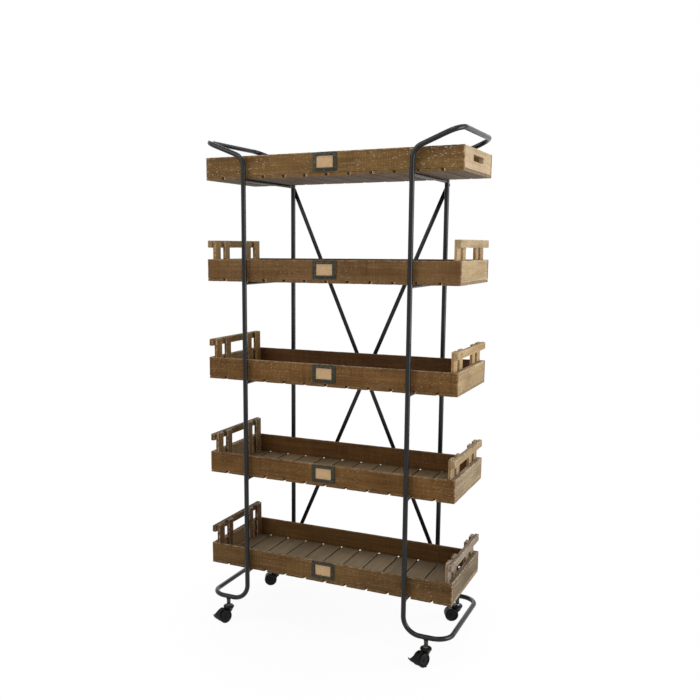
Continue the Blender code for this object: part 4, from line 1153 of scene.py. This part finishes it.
def zinc_plate():
    """Zinc plating: bright and bluish, with a fine crystal grain and a little dirt."""
    material, shader, tree, here = new_material("zinc plate", 0.3, 1.0)
    grain = node_noise(tree, here, 1800)
    color = mixed(tree, between(tree, node_noise(tree, here, 300), 0.50, 0.75), *ZINC_TONES)
    wire(tree, shader, color, between(tree, grain, 0.3, 0.7, 0.22, 0.38), grain, 0.00005, 0.4)
    return material


body_nylon = nylon("black caster nylon", BODY_TONES, 0.28)
wheel_nylon = nylon("dark wheel nylon", WHEEL_TONES, 0.36)
plating = zinc_plate()


def caster_body(with_brake):
    """The boss, web and neck in one moulding, with the axle and, for a foot brake, its slot and pin."""
    bend = BOSS_TOP_Z - BOSS_EDGE
    profile = [(0, BOSS_TOP_Z), (COLLAR_RADIUS, BOSS_TOP_Z), (COLLAR_RADIUS, BOSS_TOP_Z - COLLAR_GROOVE),
               (COLLAR_RADIUS + COLLAR_GROOVE, BOSS_TOP_Z - COLLAR_GROOVE),
               (COLLAR_RADIUS + COLLAR_GROOVE, BOSS_TOP_Z)]
    profile += arc(BOSS_RADIUS - BOSS_EDGE, bend, BOSS_EDGE, 90, 0, 8)
    profile += [(BOSS_RADIUS, BOSS_RIM_Z), (BOSS_RADIUS - BOSS_RIM_STEP, BOSS_RIM_Z - BOSS_RIM_STEP),
                (BOSS_FOOT_RADIUS, BOSS_FOOT_Z), (0, BOSS_FOOT_Z)]
    centre = Vector((CASTER_TRAIL, 0, WHEEL_RADIUS))
    across = Vector((0, WEB_THICKNESS / 2, 0))
    web = rod(centre - across, centre + across, WEB_RADIUS, WHEEL_SIDES, WEB_EDGE)
    neck = slab(((-BOSS_FOOT_RADIUS, NECK_TOP_Z), (NECK_BOTTOM_X, WHEEL_RADIUS),
                 (CASTER_TRAIL, WHEEL_RADIUS), (CASTER_TRAIL, NECK_TOP_Z)), WEB_THICKNESS / 2 - WEB_EDGE)
    steps = [("UNION", web), ("UNION", neck)]
    for sign in (-1, 1):
        well = rod(centre + across * sign, centre + across * sign * 4, WHEEL_RADIUS + WHEEL_CLEARANCE,
                   WHEEL_SIDES)
        steps.append(("DIFFERENCE", well))
    steps.append(("DIFFERENCE", block((-WHEEL_RADIUS, -BOSS_RADIUS, -WHEEL_RADIUS),
                                      (CASTER_TRAIL + 2 * WHEEL_RADIUS, BOSS_RADIUS, WEB_BOTTOM_Z))))
    steps.append(("DIFFERENCE", rod((0, 0, BOSS_TOP_Z - STEM_DEPTH - RUNNING_GAP),
                                    (0, 0, BOSS_TOP_Z + WHEEL_CLEARANCE), STEM_RADIUS + RUNNING_GAP)))
    axle = Vector((0, wheel_centre_y + WHEEL_WIDTH / 2, 0))
    if with_brake:
        slot_half = TONGUE_WIDTH / 2 + RUNNING_GAP
        slot_far = CASTER_TRAIL + 2 * WHEEL_RADIUS
        slot_top = PIN_Z + EYE_RADIUS + 2 * RUNNING_GAP
        slot = block((PIN_X - EYE_RADIUS - 2 * RUNNING_GAP, -slot_half, 0), (slot_far, slot_half, slot_top))
        pin_half = slot_half + (WEB_THICKNESS / 2 - slot_half) / 2
        pin = rod((PIN_X, -pin_half, PIN_Z), (PIN_X, pin_half, PIN_Z), PIN_RADIUS, PIN_SIDES)
        steps += [("DIFFERENCE", slot), ("UNION", pin)]
    steps.append(("UNION", rod(centre - axle, centre + axle, AXLE_RADIUS, edge=AXLE_EDGE)))
    return shaped(turned(profile, BOSS_SIDES), *steps)


def wheel(outer_side):
    """A wheel about its axle along Y, with its dished face on the outer side."""
    half = WHEEL_WIDTH / 2
    bore = AXLE_RADIUS + RUNNING_GAP
    profile = [(radius, half - inwards) for radius, inwards in WHEEL_FACE]
    profile += arc(TREAD_RADIUS - WHEEL_EDGE, half - WHEEL_EDGE, WHEEL_EDGE, 84, 0, 6)
    profile += arc(TREAD_RADIUS - WHEEL_EDGE, -half + WHEEL_EDGE, WHEEL_EDGE, 0, -90, 6)
    profile += [(bore + BORE_EDGE, -half), (bore, -half + BORE_EDGE), profile[0]]
    bm = turned(profile, WHEEL_SIDES)
    bmesh.ops.rotate(bm, verts=bm.verts, matrix=Matrix.Rotation(-outer_side * math.pi / 2, 3, "X"))
    bmesh.ops.translate(bm, vec=(CASTER_TRAIL, outer_side * wheel_centre_y, WHEEL_RADIUS), verts=bm.verts)
    return bm


def stem_and_nut(socket_z):
    """The turned stem with its snap groove and rounded tip, and the nut below the socket."""
    top = socket_z + STEM_RISE
    bottom = BOSS_TOP_Z - STEM_DEPTH
    profile = [(0, top), (STEM_RADIUS - STEM_EDGE, top), (STEM_RADIUS, top - STEM_EDGE)]
    profile += [(STEM_RADIUS - depth, bottom + rise) for depth, rise in STEM_GROOVE]
    profile += [(STEM_RADIUS, bottom + STEM_EDGE), (STEM_RADIUS - STEM_EDGE, bottom), (0, bottom)]
    bm = turned(profile, STEM_SIDES)
    nut_radius = NUT_ACROSS / 2 / math.cos(math.pi / 6)
    low = Vector((0, 0, BOSS_TOP_Z + RUNNING_GAP))
    nut = rod(low, low + Vector((0, 0, NUT_HEIGHT)), nut_radius, 6)
    flat, rim = NUT_ACROSS / 2, nut_radius + NUT_CHAMFER
    crown = turned([(0, -NUT_CHAMFER), (flat, -NUT_CHAMFER), (rim, NUT_CHAMFER * 1.5),
                    (rim, NUT_HEIGHT - NUT_CHAMFER * 1.5), (flat, NUT_HEIGHT + NUT_CHAMFER),
                    (0, NUT_HEIGHT + NUT_CHAMFER)], NUT_SIDES)
    bmesh.ops.translate(crown, vec=low, verts=crown.verts)
    return shaped(nut, ("INTERSECT", crown), ("UNION", bm))


# The foot brakes
# A moulded pedal bent round both wheels, narrow by the boss and spread into two ears at its foot. Its
# tongue turns on a steel pin in the web, so that a tap on the ears locks the wheels.

PEDAL_RADIUS = WHEEL_RADIUS + 0.0032
PEDAL_THICKNESS = 0.0025
PEDAL_WIDTH = 0.0837
PEDAL_TOP_WIDTH = 0.017
PEDAL_TOP_ANGLE = math.radians(86)
PEDAL_FOOT_ANGLE = math.radians(-14)
PEDAL_FLARE = 3.5
PEDAL_ROWS = 56
PEDAL_COLUMNS = 40
PEDAL_EAR_SWEEP = 0.010
PEDAL_EAR_ROUND = 0.003
PEDAL_EAR_BLEND = 0.0042
PEDAL_EDGE = 0.0009


def softened(value):
    """0 to 1 with smooth ends, which also draws a grid's rows close together there."""
    return (1 - math.cos(math.pi * min(1.0, max(0.0, value)))) / 2


def pedal_half_width(to_foot, length):
    """Half the pedal's width at a distance from its foot. The ears are round-ended."""
    half_top, half_foot = PEDAL_TOP_WIDTH / 2, PEDAL_WIDTH / 2
    flared = half_top + (half_foot - half_top) * (1 - to_foot / length) ** PEDAL_FLARE
    if to_foot < PEDAL_EAR_ROUND:
        back = PEDAL_EAR_ROUND - to_foot
        return half_foot - PEDAL_EAR_ROUND + math.sqrt(PEDAL_EAR_ROUND ** 2 - back ** 2)
    share = softened((to_foot - PEDAL_EAR_ROUND) / PEDAL_EAR_BLEND)
    return half_foot + (flared - half_foot) * share


def brake_pedal():
    """The pedal with its tongue and eye, in the caster's own place."""
    bm = bmesh.new()
    bmesh.ops.create_grid(bm, x_segments=PEDAL_ROWS, y_segments=PEDAL_COLUMNS, size=0.5)
    raised = bmesh.ops.extrude_face_region(bm, geom=bm.faces[:])
    outer = set(only(bmesh.types.BMVert, raised["geom"]))
    length = PEDAL_RADIUS * (PEDAL_TOP_ANGLE - PEDAL_FOOT_ANGLE)
    for vert in bm.verts:
        to_foot = length * (1 - softened(vert.co.x + 0.5))
        half_width = pedal_half_width(to_foot, length)
        y = half_width * (2 * softened(vert.co.y + 0.5) - 1)
        to_rim = min(to_foot, length - to_foot, half_width - abs(y))
        back = max(0.0, PEDAL_EDGE - to_rim)
        round_off = PEDAL_EDGE - math.sqrt(PEDAL_EDGE ** 2 - back ** 2)
        radius = PEDAL_RADIUS + (PEDAL_THICKNESS - round_off if vert in outer else round_off)
        angle = PEDAL_FOOT_ANGLE + to_foot / PEDAL_RADIUS
        sweep = PEDAL_EAR_SWEEP * abs(2 * y / PEDAL_WIDTH) ** 3
        vert.co = (CASTER_TRAIL + radius * math.cos(angle) - sweep, y,
                   WHEEL_RADIUS + radius * math.sin(angle))
    bmesh.ops.recalc_face_normals(bm, faces=bm.faces)
    half = TONGUE_WIDTH / 2
    reach = PEDAL_RADIUS + PEDAL_THICKNESS / 3
    pin = Vector((PIN_X, 0, PIN_Z))
    end = Vector((CASTER_TRAIL + reach * math.cos(TONGUE_ANGLE), 0,
                  WHEEL_RADIUS + reach * math.sin(TONGUE_ANGLE)))
    across = Vector((pin.z - end.z, 0, end.x - pin.x)).normalized()
    tongue = slab([(corner.x, corner.z) for corner in
                   (pin + across * TONGUE_ROOT / 2, end + across * TONGUE_TIP / 2,
                    end - across * TONGUE_TIP / 2, pin - across * TONGUE_ROOT / 2)], half - TONGUE_INSET)
    side = Vector((0, half, 0))
    eye = rod(pin - side, pin + side, EYE_RADIUS, edge=AXLE_EDGE)
    hole = rod(pin - side * 2, pin + side * 2, PIN_RADIUS + RUNNING_GAP)
    return shaped(eye, ("UNION", tongue), ("UNION", bm), ("DIFFERENCE", hole))


for name in record["behaviour"]["bodies"]:
    if not name.endswith("_swivel"):
        continue
    prefix = "caster_" + name.replace("_swivel", "_")
    braked = name.startswith("front")
    axle = Vector(joint_places[name.replace("swivel", "wheel_1_roll")]["axis"])
    heading = math.atan2(-axle.x, axle.y)
    foot = Vector(joint_places[name]["pos_m"])
    foot.z = 0
    place = Matrix.Translation(foot) @ Matrix.Rotation(heading, 4, "Z")
    parts = [("moulding", caster_body(braked), body_nylon, name, "black_plastic", "housing"),
             ("stem_and_nut", stem_and_nut(SOCKET_BOTTOM_Z), plating, "cart", "zinc", "stem")]
    parts += [(f"twin_wheel_{number}", wheel(outer_side), wheel_nylon,
               name.replace("swivel", f"wheel_{number}"), "wheel_plastic", f"wheel_{number}")
              for number, outer_side in ((1, 1), (2, -1))]
    if braked:
        parts.append(("brake_pedal", brake_pedal(), body_nylon, name.replace("swivel", "brake"),
                      "black_plastic", "brake"))
    for part, bm, material, body, slot, replaced in parts:
        add_piece(prefix + part, bm, material, body, [prefix + replaced], place)

low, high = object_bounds()
